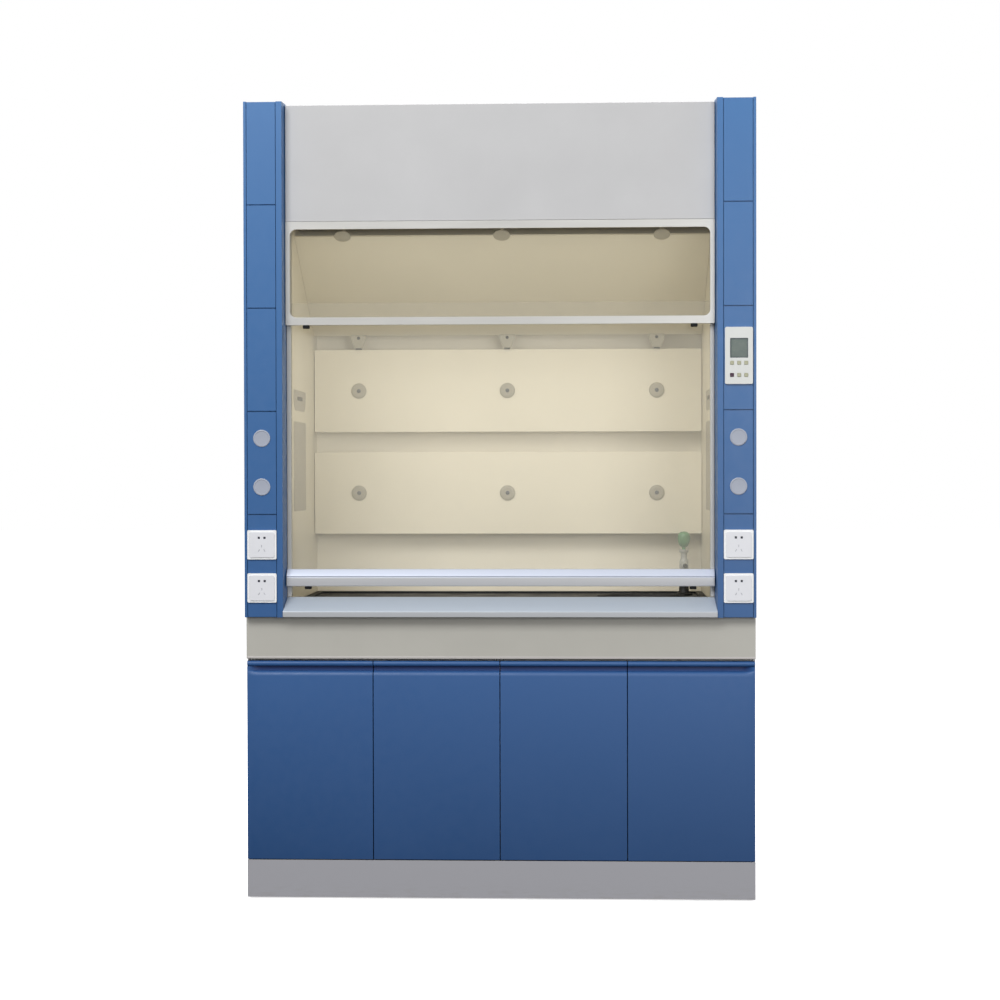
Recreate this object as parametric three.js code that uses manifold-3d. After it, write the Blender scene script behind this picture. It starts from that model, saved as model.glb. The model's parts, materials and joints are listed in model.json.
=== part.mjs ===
// A walk-up laboratory fume hood: a cupboard base, a worktop with a cup sink, and a ventilated chamber
// behind a counterbalanced vertical sash. Millimetres. +X is the user's right, +Y is the back, +Z is up,
// and the origin is on the floor under the middle of the hood.
import * as THREE from "three";
import { mergeVertices } from "three/addons/utils/BufferGeometryUtils.js";
import Module from "manifold-3d";

const wasm = await Module();
wasm.setup();

// ---- Driving dimensions ----
const WIDTH = 1500;
const DEPTH = 850;
const HEIGHT = 2350;
const HALF = WIDTH / 2;
const FRONT = -DEPTH / 2; // foremost plane: socket plates, controller and airfoil lip
const BACK = DEPTH / 2;
const GAP = 0.3; // between pieces that rest on each other

// Base cupboard
const BASE_TOP = 835;
const PANEL = 18;
const DOOR_FRONT = -388;
const DOOR_THICK = 20;
const DOOR_BOTTOM = 118;
const DOOR_TOP = 708;
const DOOR_SEAM = 3.5;
const DOOR_COUNT = 4;
const DOOR_WIDTH = (WIDTH - 4 - DOOR_SEAM * (DOOR_COUNT - 1)) / DOOR_COUNT;
const PIVOT_IN = 8; // hinge pin from the door's hinge edge
const PIVOT_BACK = 5; // hinge pin behind the door's face
const CARCASS_FRONT = DOOR_FRONT + DOOR_THICK + 3;

// Posts and service modules
const POST_FRONT = FRONT + 8;
const POST_INNER = 637; // inner face at the front edge
const LINER_INNER = 632.5; // chamber wall
const MODULE_INNER = 655;
const MODULE_OUTER = 741.2;
const MODULE_MID = (MODULE_INNER + MODULE_OUTER) / 2;
const MODULE_COUNT = 5;
const MODULE_HEIGHT = (HEIGHT - BASE_TOP) / MODULE_COUNT;

// Worktop and chamber
const WORK_TOP = 870;
const WORK_DISH = 864;
const CHAMBER_TOP = 2010;
const REAR_WALL = 330;
const BAFFLE_FRONT = 255;

// Sash
const SASH_MID = -345;
const GLASS = 5;
const SASH_BOTTOM = 925;
const SASH_TOP = 1764;
const TRACK_INNER = 620;

// Fixed window
const WINDOW_BOTTOM = 1696.5;
const WINDOW_TOP = 2001.5;

// Sash balance
const BELT_MID = 690; // distance of the belts from the middle of the hood
const PULLEY_RADIUS = 40;
const PULLEY_Y = SASH_MID + PULLEY_RADIUS;
const TOP_PULLEY_Z = 2290;
const IDLER_Z = 960;

// ---- Materials ----
function finish(color, roughness, metalness = 0) {
  return new THREE.MeshStandardMaterial({ color, roughness, metalness });
}
const BLUE_STEEL = finish(0x5480b4, 0.45);
const DOOR_BLUE = finish(0x3b5c8a, 0.45);
const GREY_STEEL = finish(0xb9bab8, 0.5);
const WARM_GREY = finish(0xaaa8a0, 0.5);
const ALUMINIUM = finish(0xc6cad2, 0.35, 0.6);
const LINER_CREAM = finish(0xd6cfbb, 0.55);
const WORKTOP_BLACK = finish(0x1d1f22, 0.2);
const POLYMER_BLACK = finish(0x17181a, 0.4);
const TAP_GREY = finish(0xc9c9c2, 0.35);
const TAP_GREEN = finish(0x3f8f5f, 0.35);
const SOCKET_WHITE = finish(0xe3e5ea, 0.4);
const SCREEN_GREEN = finish(0x6d7973, 0.25);
const KEY_OLIVE = finish(0xb8b8a0, 0.5);
const KEY_PURPLE = finish(0x4f2140, 0.5);
const DARK_STEEL = finish(0x5a5d60, 0.5, 0.8);
const RUBBER = finish(0x1a1a1a, 0.8);
const CLEAR = new THREE.MeshStandardMaterial({
  color: 0xdfe8e4,
  roughness: 0.05,
  transparent: true,
  opacity: 0.25,
});

// ---- Shape helpers ----
function box(x, y, z) {
  const size = [x[1] - x[0], y[1] - y[0], z[1] - z[0]];
  const g = new THREE.BoxGeometry(...size);
  g.translate((x[0] + x[1]) / 2, (y[0] + y[1]) / 2, (z[0] + z[1]) / 2);
  return g;
}

function outline(points) {
  return new THREE.Shape(points.map(([a, b]) => new THREE.Vector2(a, b)));
}

function roundedRect(a0, b0, a1, b1, r) {
  const s = new THREE.Shape();
  s.absarc(a1 - r, b0 + r, r, -Math.PI / 2, 0);
  s.absarc(a1 - r, b1 - r, r, 0, Math.PI / 2);
  s.absarc(a0 + r, b1 - r, r, Math.PI / 2, Math.PI);
  s.absarc(a0 + r, b0 + r, r, Math.PI, 1.5 * Math.PI);
  return s;
}

function extruded(shape, depth, curveSegments = 4) {
  return new THREE.ExtrudeGeometry(shape, {
    depth,
    bevelEnabled: false,
    curveSegments,
  });
}

// A section drawn in Y and Z, run along X.
function alongX(shape, x, curveSegments) {
  const g = extruded(shape, x[1] - x[0], curveSegments);
  g.applyMatrix4(new THREE.Matrix4().set(0, 0, 1, x[0], 1, 0, 0, 0, 0, 1, 0, 0, 0, 0, 0, 1));
  return g;
}

// A section drawn in X and Z, run along Y.
function alongY(shape, y, curveSegments) {
  const g = extruded(shape, y[1] - y[0], curveSegments);
  g.rotateX(Math.PI / 2);
  g.translate(0, y[1], 0);
  return g;
}

// A section drawn in X and Y, run along Z.
function alongZ(shape, z, curveSegments) {
  const g = extruded(shape, z[1] - z[0], curveSegments);
  g.translate(0, 0, z[0]);
  return g;
}

function rodX(radius, x, y, z, sides = 24) {
  const g = new THREE.CylinderGeometry(radius, radius, x[1] - x[0], sides);
  g.rotateZ(Math.PI / 2);
  g.translate((x[0] + x[1]) / 2, y, z);
  return g;
}

function rodY(radius, x, y, z, sides = 24) {
  const g = new THREE.CylinderGeometry(radius, radius, y[1] - y[0], sides);
  g.translate(x, (y[0] + y[1]) / 2, z);
  return g;
}

function rodZ(radius, x, y, z, sides = 24) {
  const g = new THREE.CylinderGeometry(radius, radius, z[1] - z[0], sides);
  g.rotateX(Math.PI / 2);
  g.translate(x, y, (z[0] + z[1]) / 2);
  return g;
}

// A profile of [radius, height] points turned about a vertical axis.
function turnedZ(profile, x, y, sides = 32) {
  const points = profile.map(([r, h]) => new THREE.Vector2(r, h));
  const g = new THREE.LatheGeometry(points, sides);
  g.rotateX(Math.PI / 2);
  g.translate(x, y, 0);
  return g;
}

function ellipseZ(cx, cy, rx, ry, z) {
  const s = new THREE.Shape();
  s.absellipse(cx, cy, rx, ry, 0, 2 * Math.PI);
  return alongZ(s, z, 18);
}

// The stretch between two distances from the middle, on the side that sign names.
function span(sign, a, b) {
  return [Math.min(sign * a, sign * b), Math.max(sign * a, sign * b)];
}

// Corners are rounded to a thousandth of a millimetre, so that pieces share their common planes exactly.
function solid(geometry) {
  const bare = geometry.clone();
  bare.deleteAttribute("normal");
  bare.deleteAttribute("uv");
  const corners = bare.attributes.position.array;
  corners.forEach((value, i) => {
    corners[i] = Math.round(value * 1000) / 1000;
  });
  const merged = mergeVertices(bare, 1e-4);
  const vertProperties = new Float32Array(merged.attributes.position.array);
  const triVerts = new Uint32Array(merged.index.array);
  return new wasm.Manifold(new wasm.Mesh({ numProp: 3, vertProperties, triVerts }));
}

const SLIVER = 0.02; // joins leave edges this short where faces share a plane, and they are closed up

function geometryOf(body) {
  const mesh = body.asOriginal().simplify(SLIVER).getMesh();
  const g = new THREE.BufferGeometry();
  g.setAttribute("position", new THREE.BufferAttribute(mesh.vertProperties, 3));
  g.setIndex(new THREE.BufferAttribute(mesh.triVerts, 1));
  g.computeVertexNormals();
  return g;
}

// A solid with others cut out of it. Each piece is a three.js geometry or an already made solid.
function carved(piece, cuts) {
  const start = piece instanceof wasm.Manifold ? piece : solid(piece);
  return cuts.reduce((body, cut) => body.subtract(solid(cut)), start);
}

function joined(pieces, cuts = []) {
  const body = pieces.map((piece) => carved(piece, [])).reduce((a, b) => a.add(b));
  return geometryOf(carved(body, cuts));
}

function trimmed(geometry, keep) {
  return geometryOf(solid(geometry).intersect(solid(keep)));
}

const hood = new THREE.Group();

function add(name, geometry, material) {
  const mesh = new THREE.Mesh(geometry, material);
  mesh.name = name;
  hood.add(mesh);
}

// ---- Base cupboard ----
const FOOT_X = 704;
const FOOT_YS = [-325, 385];
const SHELF_Z = 420;
const SHELF_SHEET = 1.5;
const APRON_BOTTOM = 711;
const SIDE_BOTTOM = 8;
const CABINET_SHEET = 2;
const DOORWAY_TOP = 700;

// One folded-sheet cabinet: two cupboards open at the front, and a space under the floor for the feet.
function baseCarcass() {
  const depth = [CARCASS_FRONT, BACK];
  const top = BASE_TOP - GAP;
  const skin = HALF - CABINET_SHEET;
  const rooms = [box([-skin, skin], [depth[0] - 5, depth[1] + 5], [0, DOOR_BOTTOM])];
  const brackets = [];
  const footHoles = [];
  for (const sign of [-1, 1]) {
    const roomY = [depth[0] + CABINET_SHEET, depth[1] - CABINET_SHEET];
    const roomZ = [DOOR_BOTTOM + CABINET_SHEET, top - CABINET_SHEET];
    const doorway = span(sign, PANEL / 2, HALF - PANEL);
    const hatchY = [depth[0] + PANEL, depth[1] - PANEL];
    rooms.push(box(span(sign, CABINET_SHEET / 2, skin), roomY, roomZ));
    rooms.push(box(doorway, [depth[0] - 5, depth[0] + 5], [DOOR_BOTTOM + PANEL, DOORWAY_TOP]));
    rooms.push(box(span(sign, 60, 690), hatchY, [top - 5, top + 5]));
    for (const y of FOOT_YS) {
      brackets.push(box(span(sign, 676, HALF - 0.5), [y - 28, y + 28], [60, 66]));
      footHoles.push(rodZ(6.8, sign * FOOT_X, y, [55, 73], 10));
    }
  }
  const shell = carved(box([-HALF, HALF], depth, [SIDE_BOTTOM, top]), rooms);
  return joined([shell, ...brackets], footHoles);
}
add("base_carcass", baseCarcass(), GREY_STEEL);

function levellingFoot(x, y) {
  return joined([
    turnedZ([[0, 0], [24, 0], [24, 7], [12, 14], [0, 14]], x, y, 16),
    rodZ(6, x, y, [10, 78], 10),
  ]);
}
let footNumber = 1;
for (const y of FOOT_YS) {
  for (const sign of [-1, 1]) {
    add(`levelling_foot_${footNumber}`, levellingFoot(sign * FOOT_X, y), DARK_STEEL);
    footNumber += 1;
  }
}

// Doors 1 to 4 run from left to right. Doors 1 and 3 hang on their left edge, 2 and 4 on their right.
const doors = [];
for (let i = 0; i < DOOR_COUNT; i += 1) {
  const left = -HALF + 2 + i * (DOOR_WIDTH + DOOR_SEAM);
  const right = left + DOOR_WIDTH;
  const hangsLeft = i % 2 === 0;
  const pivotX = hangsLeft ? left + PIVOT_IN : right - PIVOT_IN;
  doors.push({ name: `door_${i + 1}`, left, right, hangsLeft, pivotX });
}
const PIVOT_Y = DOOR_FRONT + PIVOT_BACK;
const PIN_RADIUS = 2;
const DOOR_SHEET = 1.5;

// The door's section: a flat face that bends back into a finger channel under a round top lip.
function doorSection() {
  const back = DOOR_FRONT + DOOR_THICK;
  const floor = DOOR_FRONT + 14;
  const bend = 16;
  const lip = 8;
  const faceTop = DOOR_TOP - 45;
  const s = new THREE.Shape();
  s.moveTo(back, DOOR_BOTTOM);
  s.lineTo(back, DOOR_TOP);
  s.lineTo(DOOR_FRONT + lip, DOOR_TOP);
  s.absarc(DOOR_FRONT + lip, DOOR_TOP - lip, lip, Math.PI / 2, 1.5 * Math.PI);
  s.lineTo(floor, DOOR_TOP - 2 * lip);
  s.lineTo(floor, faceTop + bend);
  s.absellipse(floor, faceTop, floor - DOOR_FRONT, bend, Math.PI / 2, Math.PI);
  s.lineTo(DOOR_FRONT, DOOR_BOTTOM);
  return s;
}

function door({ left, right, pivotX }) {
  const pieces = [alongX(doorSection(), [left, right], 4)];
  const cap = 4;
  const back = DOOR_FRONT + DOOR_THICK;
  const channel = [DOOR_TOP - 50, DOOR_TOP - 8];
  if (left < -HALF + 10) pieces.push(box([left, left + cap], [DOOR_FRONT, back], channel));
  if (right > HALF - 10) pieces.push(box([right - cap, right], [DOOR_FRONT, back], channel));
  pieces.push(rodZ(PIN_RADIUS, pivotX, PIVOT_Y, [DOOR_TOP - 5, DOOR_TOP + 9], 8));
  pieces.push(rodZ(PIN_RADIUS, pivotX, PIVOT_Y, [DOOR_BOTTOM - 9, DOOR_BOTTOM + 5], 8));
  const middle = (left + right) / 2;
  const hollowY = [DOOR_FRONT + DOOR_SHEET, back - DOOR_SHEET];
  const hollowZ = [DOOR_BOTTOM + DOOR_SHEET, DOOR_TOP - 47];
  const hollow = box([left + DOOR_SHEET, right - DOOR_SHEET], hollowY, hollowZ);
  const drain = box([middle - 30, middle + 30], [hollowY[0] + 4, hollowY[1] - 4], [100, DOOR_BOTTOM + 4]);
  return joined(pieces, [hollow, drain]);
}
for (const d of doors) add(d.name, door(d), DOOR_BLUE);

// A folded sheet cover, open at the back: its body and the pocket cut into it.
function foldedCover(halfWidth, front, back, z, sheet) {
  const body = box([-halfWidth, halfWidth], [front, back], z);
  const inner = halfWidth - sheet;
  const pocket = box([-inner, inner], [front + sheet, back + 5], [z[0] + sheet, z[1] - sheet]);
  return { body, pocket };
}

function pinHoles(z) {
  return doors.map((d) => rodZ(PIN_RADIUS + 0.6, d.pivotX, PIVOT_Y, z, 8));
}

function apronPanel() {
  const back = CARCASS_FRONT - GAP;
  const cover = foldedCover(HALF, DOOR_FRONT, back, [APRON_BOTTOM, BASE_TOP - GAP], 2);
  return joined([cover.body], [cover.pocket, ...pinHoles([APRON_BOTTOM - 5, APRON_BOTTOM + 12])]);
}
add("apron_panel", apronPanel(), WARM_GREY);

function kickPlate() {
  const back = CARCASS_FRONT - GAP;
  const cover = foldedCover(HALF - 1, DOOR_FRONT, back, [5, DOOR_BOTTOM - 2.5], 2);
  return joined([cover.body], [cover.pocket, ...pinHoles([DOOR_BOTTOM - 14, DOOR_BOTTOM + 2])]);
}
add("kick_plate", kickPlate(), GREY_STEEL);

// A folded tray, open underneath.
function shelf(sign) {
  const x = span(sign, 4, HALF - 6);
  const y = [CARCASS_FRONT + 40, BACK - 6];
  const inset = ([low, high]) => [low + SHELF_SHEET, high - SHELF_SHEET];
  const tray = box(x, y, [SHELF_Z, SHELF_Z + PANEL]);
  const under = box(inset(x), inset(y), [SHELF_Z - 5, SHELF_Z + PANEL - SHELF_SHEET]);
  return joined([tray], [under]);
}
add("shelf_left", shelf(-1), GREY_STEEL);
add("shelf_right", shelf(1), GREY_STEEL);

// ---- Worktop, cup sink and tap ----
const WORK_HALF = 631.5;
const WORK_FRONT = -372;
const SINK_X = 430;
const SINK_Y = 150;
const SINK_RX = 130;
const SINK_RY = 62;
const TAP_X = 571;
const TAP_Y = 225;

function worktop() {
  const rim = 18;
  const slab = box([-WORK_HALF, WORK_HALF], [WORK_FRONT, REAR_WALL - GAP], [BASE_TOP, WORK_TOP]);
  const dish = alongZ(
    roundedRect(
      -WORK_HALF + rim,
      WORK_FRONT + rim + 6,
      WORK_HALF - rim,
      REAR_WALL - GAP - rim,
      10,
    ),
    [WORK_DISH, WORK_TOP + 5],
    4,
  );
  const hole = ellipseZ(SINK_X, SINK_Y, SINK_RX + 1, SINK_RY + 1, [BASE_TOP - 5, WORK_TOP + 5]);
  return joined([slab], [dish, hole]);
}
add("worktop", worktop(), WORKTOP_BLACK);

function cupSink() {
  const wall = 4;
  const floor = 715;
  const rimTop = WORK_DISH + 4;
  const outer = [
    ellipseZ(SINK_X, SINK_Y, SINK_RX, SINK_RY, [floor, WORK_DISH + 1]),
    ellipseZ(SINK_X, SINK_Y, SINK_RX + 10, SINK_RY + 10, [WORK_DISH + GAP, rimTop]),
    rodZ(24, SINK_X, SINK_Y, [floor - 45, floor + 1], 18),
  ];
  const inner = [
    ellipseZ(SINK_X, SINK_Y, SINK_RX - wall, SINK_RY - wall, [floor + wall, rimTop + 1]),
    rodZ(19, SINK_X, SINK_Y, [floor - 46, floor + wall + 1], 18),
  ];
  return joined(outer, inner);
}
add("cup_sink", cupSink(), POLYMER_BLACK);

const SPOUT_Z = 958;

function tapBody() {
  const base = WORK_DISH + GAP;
  const column = [
    [0, base],
    [27, base],
    [27, base + 5],
    [16, base + 12],
    [12, base + 30],
    [12, SPOUT_Z - 18],
    [17, SPOUT_Z - 12],
    [17, SPOUT_Z + 14],
    [12, SPOUT_Z + 20],
    [12, 1000],
    [15, 1003],
    [15, 1011],
    [0, 1011],
  ];
  return joined([
    turnedZ(column, TAP_X, TAP_Y, 16),
    rodY(8, TAP_X, [TAP_Y - 78, TAP_Y], SPOUT_Z, 12),
    rodY(5, TAP_X, [TAP_Y - 104, TAP_Y - 70], SPOUT_Z, 10),
  ]);
}
add("tap_body", tapBody(), TAP_GREY);

function tapKnob() {
  const low = 1018;
  const high = 1070;
  const profile = [[0, 1011 + GAP], [6, 1011 + GAP], [6, low], [10, low]];
  const steps = 8;
  for (let i = 1; i <= steps; i += 1) {
    const t = i / steps;
    const r = 10 + 10.5 * Math.sin((Math.PI / 2) * Math.min(1, t * 1.25));
    profile.push([r, low + (high - 8 - low) * t]);
  }
  profile.push([15, high - 2], [0, high]);
  return turnedZ(profile, TAP_X, TAP_Y, 20);
}
add("tap_knob", tapKnob(), TAP_GREEN);

// ---- Side frames with the service modules ----
const SHEET = 2;

function sideFrame(sign) {
  const outerX = span(sign, HALF - SHEET, HALF);
  const fullHeight = [BASE_TOP, HEIGHT];
  const innerStrip = outline(
    [
      [MODULE_INNER - 0.7, POST_FRONT],
      [POST_INNER, POST_FRONT],
      [LINER_INNER, -358],
      [LINER_INNER + 3.5, -358],
      [POST_INNER + 3, POST_FRONT + 6],
      [MODULE_INNER - 0.7, POST_FRONT + 6],
    ].map(([x, y]) => [sign * x, y]),
  );
  const pieces = [
    box(outerX, [POST_FRONT, BACK], fullHeight),
    box(span(sign, MODULE_OUTER + 0.7, HALF), [POST_FRONT, POST_FRONT + 12], fullHeight),
    alongZ(innerStrip, fullHeight),
    box(span(sign, 715, HALF), [BACK - SHEET, BACK], fullHeight),
    box(span(sign, POST_INNER, HALF), [POST_FRONT + 9, BACK], [BASE_TOP, BASE_TOP + 4]),
    box(span(sign, 640, 652), [POST_FRONT + 9, BACK], [HEIGHT - 20, HEIGHT]),
    box(span(sign, 640, HALF), [BACK - 12, BACK], [HEIGHT - 20, HEIGHT]),
  ];
  for (let i = 0; i <= MODULE_COUNT; i += 1) {
    const mid = BASE_TOP + i * MODULE_HEIGHT;
    const low = Math.max(mid - 10, BASE_TOP);
    const high = Math.min(mid + 10, HEIGHT);
    const rail = [POST_FRONT + 8.3, POST_FRONT + 17];
    pieces.push(box(span(sign, 638, HALF - 1), rail, [low, high]));
  }
  const bearing = box(span(sign, 640, 646), [PULLEY_Y - 30, PULLEY_Y + 30], [2240, HEIGHT - 10]);
  const idlerPin = rodX(6, span(sign, BELT_MID - 14, HALF - 1), PULLEY_Y, IDLER_Z, 12);
  const shaftHole = rodX(10.8, span(sign, 636, 660), PULLEY_Y, TOP_PULLEY_Z, 16);
  return joined([...pieces, bearing, idlerPin], [shaftHole]);
}
add("side_frame_left", sideFrame(-1), BLUE_STEEL);
add("side_frame_right", sideFrame(1), BLUE_STEEL);

const SOCKET_ZS = { upper: 1049, lower: 922 };
const SOCKET_SIZE = 86;
const PIN_HOLE = { spread: 8.5, rise: 20.5, half: 3 }; // from the middle of the socket
const PLUG_ZS = [1219, 1362];
const CONTROL_Z = [1516, 1682];
const CONTROL_X = [658.5, 739.5];

// A folded cover strip, open at the back, with a groove in the face at each of its four seams.
function servicePanel(sign, hasController) {
  const x = span(sign, MODULE_INNER, MODULE_OUTER);
  const back = POST_FRONT + 8;
  const height = [BASE_TOP + 1, HEIGHT - 0.5];
  const pieces = [box(x, [POST_FRONT, back], height)];
  const pocketX = span(sign, MODULE_INNER + 2, MODULE_OUTER - 2);
  const holes = [box(pocketX, [POST_FRONT + 2.5, back + 5], [height[0] + 2, height[1] - 2])];
  for (let i = 1; i < MODULE_COUNT; i += 1) {
    const seam = BASE_TOP + i * MODULE_HEIGHT;
    holes.push(box(span(sign, 600, 800), [POST_FRONT - 5, POST_FRONT + 1], [seam - 1, seam + 1]));
  }
  for (const z of PLUG_ZS) {
    pieces.push(rodY(25, sign * MODULE_MID, [POST_FRONT - 3, POST_FRONT + 1], z, 24));
  }
  const through = [POST_FRONT - 2, back + 2];
  for (const z of Object.values(SOCKET_ZS)) {
    holes.push(box(span(sign, MODULE_MID - 32, MODULE_MID + 32), through, [z - 32, z + 32]));
  }
  if (hasController) {
    const [low, high] = CONTROL_Z;
    holes.push(box(span(sign, 670, 728), through, [low + 14, high - 26]));
  }
  return joined(pieces, holes);
}
add("service_panel_left", servicePanel(-1, false), BLUE_STEEL);
add("service_panel_right", servicePanel(1, true), BLUE_STEEL);

function socket(x, z) {
  const half = SOCKET_SIZE / 2;
  const rear = POST_FRONT - GAP;
  const plate = alongY(roundedRect(x - half, z - half, x + half, z + half, 4), [FRONT + 3, rear], 2);
  const raised = alongY(roundedRect(x - 37, z - 37, x + 37, z + 37, 5), [FRONT, FRONT + 4], 2);
  const body = box([x - 29, x + 29], [rear - 1, rear + 32], [z - 29, z + 29]);
  const slots = [];
  for (const dx of [-PIN_HOLE.spread, PIN_HOLE.spread]) {
    const across = [x + dx - PIN_HOLE.half, x + dx + PIN_HOLE.half];
    const up = [z + PIN_HOLE.rise - PIN_HOLE.half, z + PIN_HOLE.rise + PIN_HOLE.half];
    slots.push(box(across, [FRONT - 1, FRONT + 6], up));
  }
  return joined([plate, raised, body], slots);
}
for (const [side, sign] of [["left", -1], ["right", 1]]) {
  for (const [level, z] of Object.entries(SOCKET_ZS)) {
    add(`socket_${side}_${level}`, socket(sign * MODULE_MID, z), SOCKET_WHITE);
  }
}

// ---- Airflow controller ----
const SCREEN_X = [673, 726];
const SCREEN_Z = [1592, 1650];
const KEY_XS = [679, 699.5, 720];
const KEY_ZS = [1577.5, 1542];
const KEY_SIZE = 11;
const CONTROL_FRONT = FRONT + 1.5;

function keyOutline(x, z, clearance) {
  const half = KEY_SIZE / 2 + clearance;
  return roundedRect(x - half, z - half, x + half, z + half, 2 + clearance);
}

function controllerHousing() {
  const rear = POST_FRONT - GAP;
  const shell = alongY(
    roundedRect(CONTROL_X[0], CONTROL_Z[0], CONTROL_X[1], CONTROL_Z[1], 5),
    [CONTROL_FRONT, rear],
    3,
  );
  const body = box([672, 726], [rear - 1, rear + 24], [CONTROL_Z[0] + 16, CONTROL_Z[1] - 28]);
  const cuts = [box(SCREEN_X, [CONTROL_FRONT - 2, CONTROL_FRONT + 3], SCREEN_Z)];
  for (const z of KEY_ZS) {
    for (const x of KEY_XS) {
      cuts.push(alongY(keyOutline(x, z, 0.4), [CONTROL_FRONT - 2, CONTROL_FRONT + 9], 1));
    }
  }
  return joined([shell, body], cuts);
}
add("controller_housing", controllerHousing(), SOCKET_WHITE);

function controllerScreen() {
  const x = [SCREEN_X[0] + GAP, SCREEN_X[1] - GAP];
  const z = [SCREEN_Z[0] + GAP, SCREEN_Z[1] - GAP];
  return box(x, [CONTROL_FRONT + 0.8, CONTROL_FRONT + 3 - GAP], z);
}
add("controller_screen", controllerScreen(), SCREEN_GREEN);

let keyNumber = 1;
for (const z of KEY_ZS) {
  for (const x of KEY_XS) {
    const key = alongY(keyOutline(x, z, 0), [FRONT, CONTROL_FRONT + 7], 1);
    add(`key_${keyNumber}`, key, keyNumber === 4 ? KEY_PURPLE : KEY_OLIVE);
    keyNumber += 1;
  }
}

// ---- Front: header, fixed window and airfoil sill ----
const HEADER_FRONT = POST_FRONT + 40;
const FRONT_HALF = 632;

function headerPanel() {
  const cover = foldedCover(FRONT_HALF, HEADER_FRONT, HEADER_FRONT + 16, [2002.5, 2344], 2);
  return joined([cover.body], [cover.pocket]);
}
add("header_panel", headerPanel(), GREY_STEEL);

const WINDOW_FRONT = HEADER_FRONT - 2;
const WINDOW_OPENING = { half: 619, low: 1719, high: 1979, radius: 19 };

function windowFrame() {
  const back = WINDOW_FRONT + 20;
  const { half, low, high, radius } = WINDOW_OPENING;
  const plate = box([-FRONT_HALF, FRONT_HALF], [WINDOW_FRONT, back], [WINDOW_BOTTOM, WINDOW_TOP]);
  const through = alongY(
    roundedRect(-half, low, half, high, radius),
    [WINDOW_FRONT - 1, back + 1],
    4,
  );
  const rebate = alongY(
    roundedRect(-half - 8, low - 8, half + 8, high + 8, radius + 4),
    [back - 8, back + 1],
    4,
  );
  const bumpers = [-572, 572].map((x) =>
    box([x - 10, x + 10], [WINDOW_FRONT + 3, back - 3], [WINDOW_BOTTOM - 10, WINDOW_BOTTOM + 1]),
  );
  return joined([plate, ...bumpers], [through, rebate]);
}
add("window_frame", windowFrame(), ALUMINIUM);

function windowGlass() {
  const back = WINDOW_FRONT + 20;
  const { half, low, high, radius } = WINDOW_OPENING;
  const pane = roundedRect(-half - 7.5, low - 7.5, half + 7.5, high + 7.5, radius + 3.5);
  return alongY(pane, [back - 8 + GAP, back - 2], 4);
}
add("window_glass", windowGlass(), CLEAR);

const AIRFOIL_REAR = -352;
const AIRFOIL_HIGH = 892;
const AIRFOIL_EDGE = 853;

// A bent sheet: an upright front lip, a slope up to the rear, and a rolled-down rear edge, on gussets.
function airfoil() {
  const front = FRONT + 1;
  const section = outline([
    [front, BASE_TOP + 1.5],
    [front + 3, BASE_TOP + 1.5],
    [front + 3, AIRFOIL_EDGE - 2],
    [AIRFOIL_REAR - 4, AIRFOIL_HIGH - 5.5],
    [AIRFOIL_REAR - 1, AIRFOIL_HIGH - 8],
    [AIRFOIL_REAR + 1, AIRFOIL_HIGH - 6],
    [AIRFOIL_REAR, AIRFOIL_HIGH],
    [AIRFOIL_REAR - 3, AIRFOIL_HIGH],
    [front, AIRFOIL_EDGE],
  ]);
  const sheet = alongX(section, [-640, 640]);
  const between = outline([
    [-POST_INNER + GAP, FRONT],
    [POST_INNER - GAP, FRONT],
    [POST_INNER - GAP, POST_FRONT],
    [LINER_INNER - 1, AIRFOIL_REAR + 2],
    [-LINER_INNER + 1, AIRFOIL_REAR + 2],
    [-POST_INNER + GAP, POST_FRONT],
  ]);
  const body = trimmed(sheet, alongZ(between, [BASE_TOP, AIRFOIL_HIGH + 5]));
  const gusset = outline([
    [WORK_FRONT + 2, WORK_TOP + GAP],
    [AIRFOIL_REAR - 3, WORK_TOP + GAP],
    [AIRFOIL_REAR - 3, AIRFOIL_HIGH - 4],
    [WORK_FRONT + 2, WORK_TOP + 8],
  ]);
  const gussets = [-600, -200, 200, 600].map((x) => alongX(gusset, [x - 2, x + 2]));
  return joined([body, ...gussets]);
}
add("airfoil", airfoil(), ALUMINIUM);

// ---- Sash ----
const STILE = { inner: 621, outer: 630 };

function sashGlass() {
  const y = [SASH_MID - GLASS / 2, SASH_MID + GLASS / 2];
  return box([-626, 626], y, [SASH_BOTTOM + 7.5, SASH_TOP]);
}
add("sash_glass", sashGlass(), CLEAR);

function sashHandle() {
  const front = -385;
  const top = SASH_BOTTOM + 50;
  const grip = outline([
    [front, SASH_BOTTOM],
    [-357.6, SASH_BOTTOM],
    [-357.6, top],
    [front + 13, top],
    [front, SASH_BOTTOM + 30],
    [front + 2.5, SASH_BOTTOM + 27],
    [front, SASH_BOTTOM + 24],
  ]);
  grip.holes.push(
    outline([
      [front + 5, SASH_BOTTOM + 3],
      [front + 5, SASH_BOTTOM + 28],
      [front + 14.5, top - 3],
      [-360.6, top - 3],
      [-360.6, SASH_BOTTOM + 3],
    ]),
  );
  const half = TRACK_INNER - 1.5;
  const channel = outline([
    [-358.5, SASH_BOTTOM],
    [-338, SASH_BOTTOM],
    [-338, SASH_BOTTOM + 30],
    [SASH_MID + GLASS / 2 + GAP, SASH_BOTTOM + 30],
    [SASH_MID + GLASS / 2 + GAP, SASH_BOTTOM + 7],
    [SASH_MID - GLASS / 2 - GAP, SASH_BOTTOM + 7],
    [SASH_MID - GLASS / 2 - GAP, SASH_BOTTOM + 36],
    [-358.5, SASH_BOTTOM + 36],
  ]);
  const bumpers = [-568, 568].map((x) =>
    box([x - 10, x + 10], [front + 6, front + 22], [SASH_BOTTOM - 9, SASH_BOTTOM + 1]),
  );
  return joined([alongX(grip, [-631, 631]), alongX(channel, [-half, half]), ...bumpers]);
}
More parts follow.
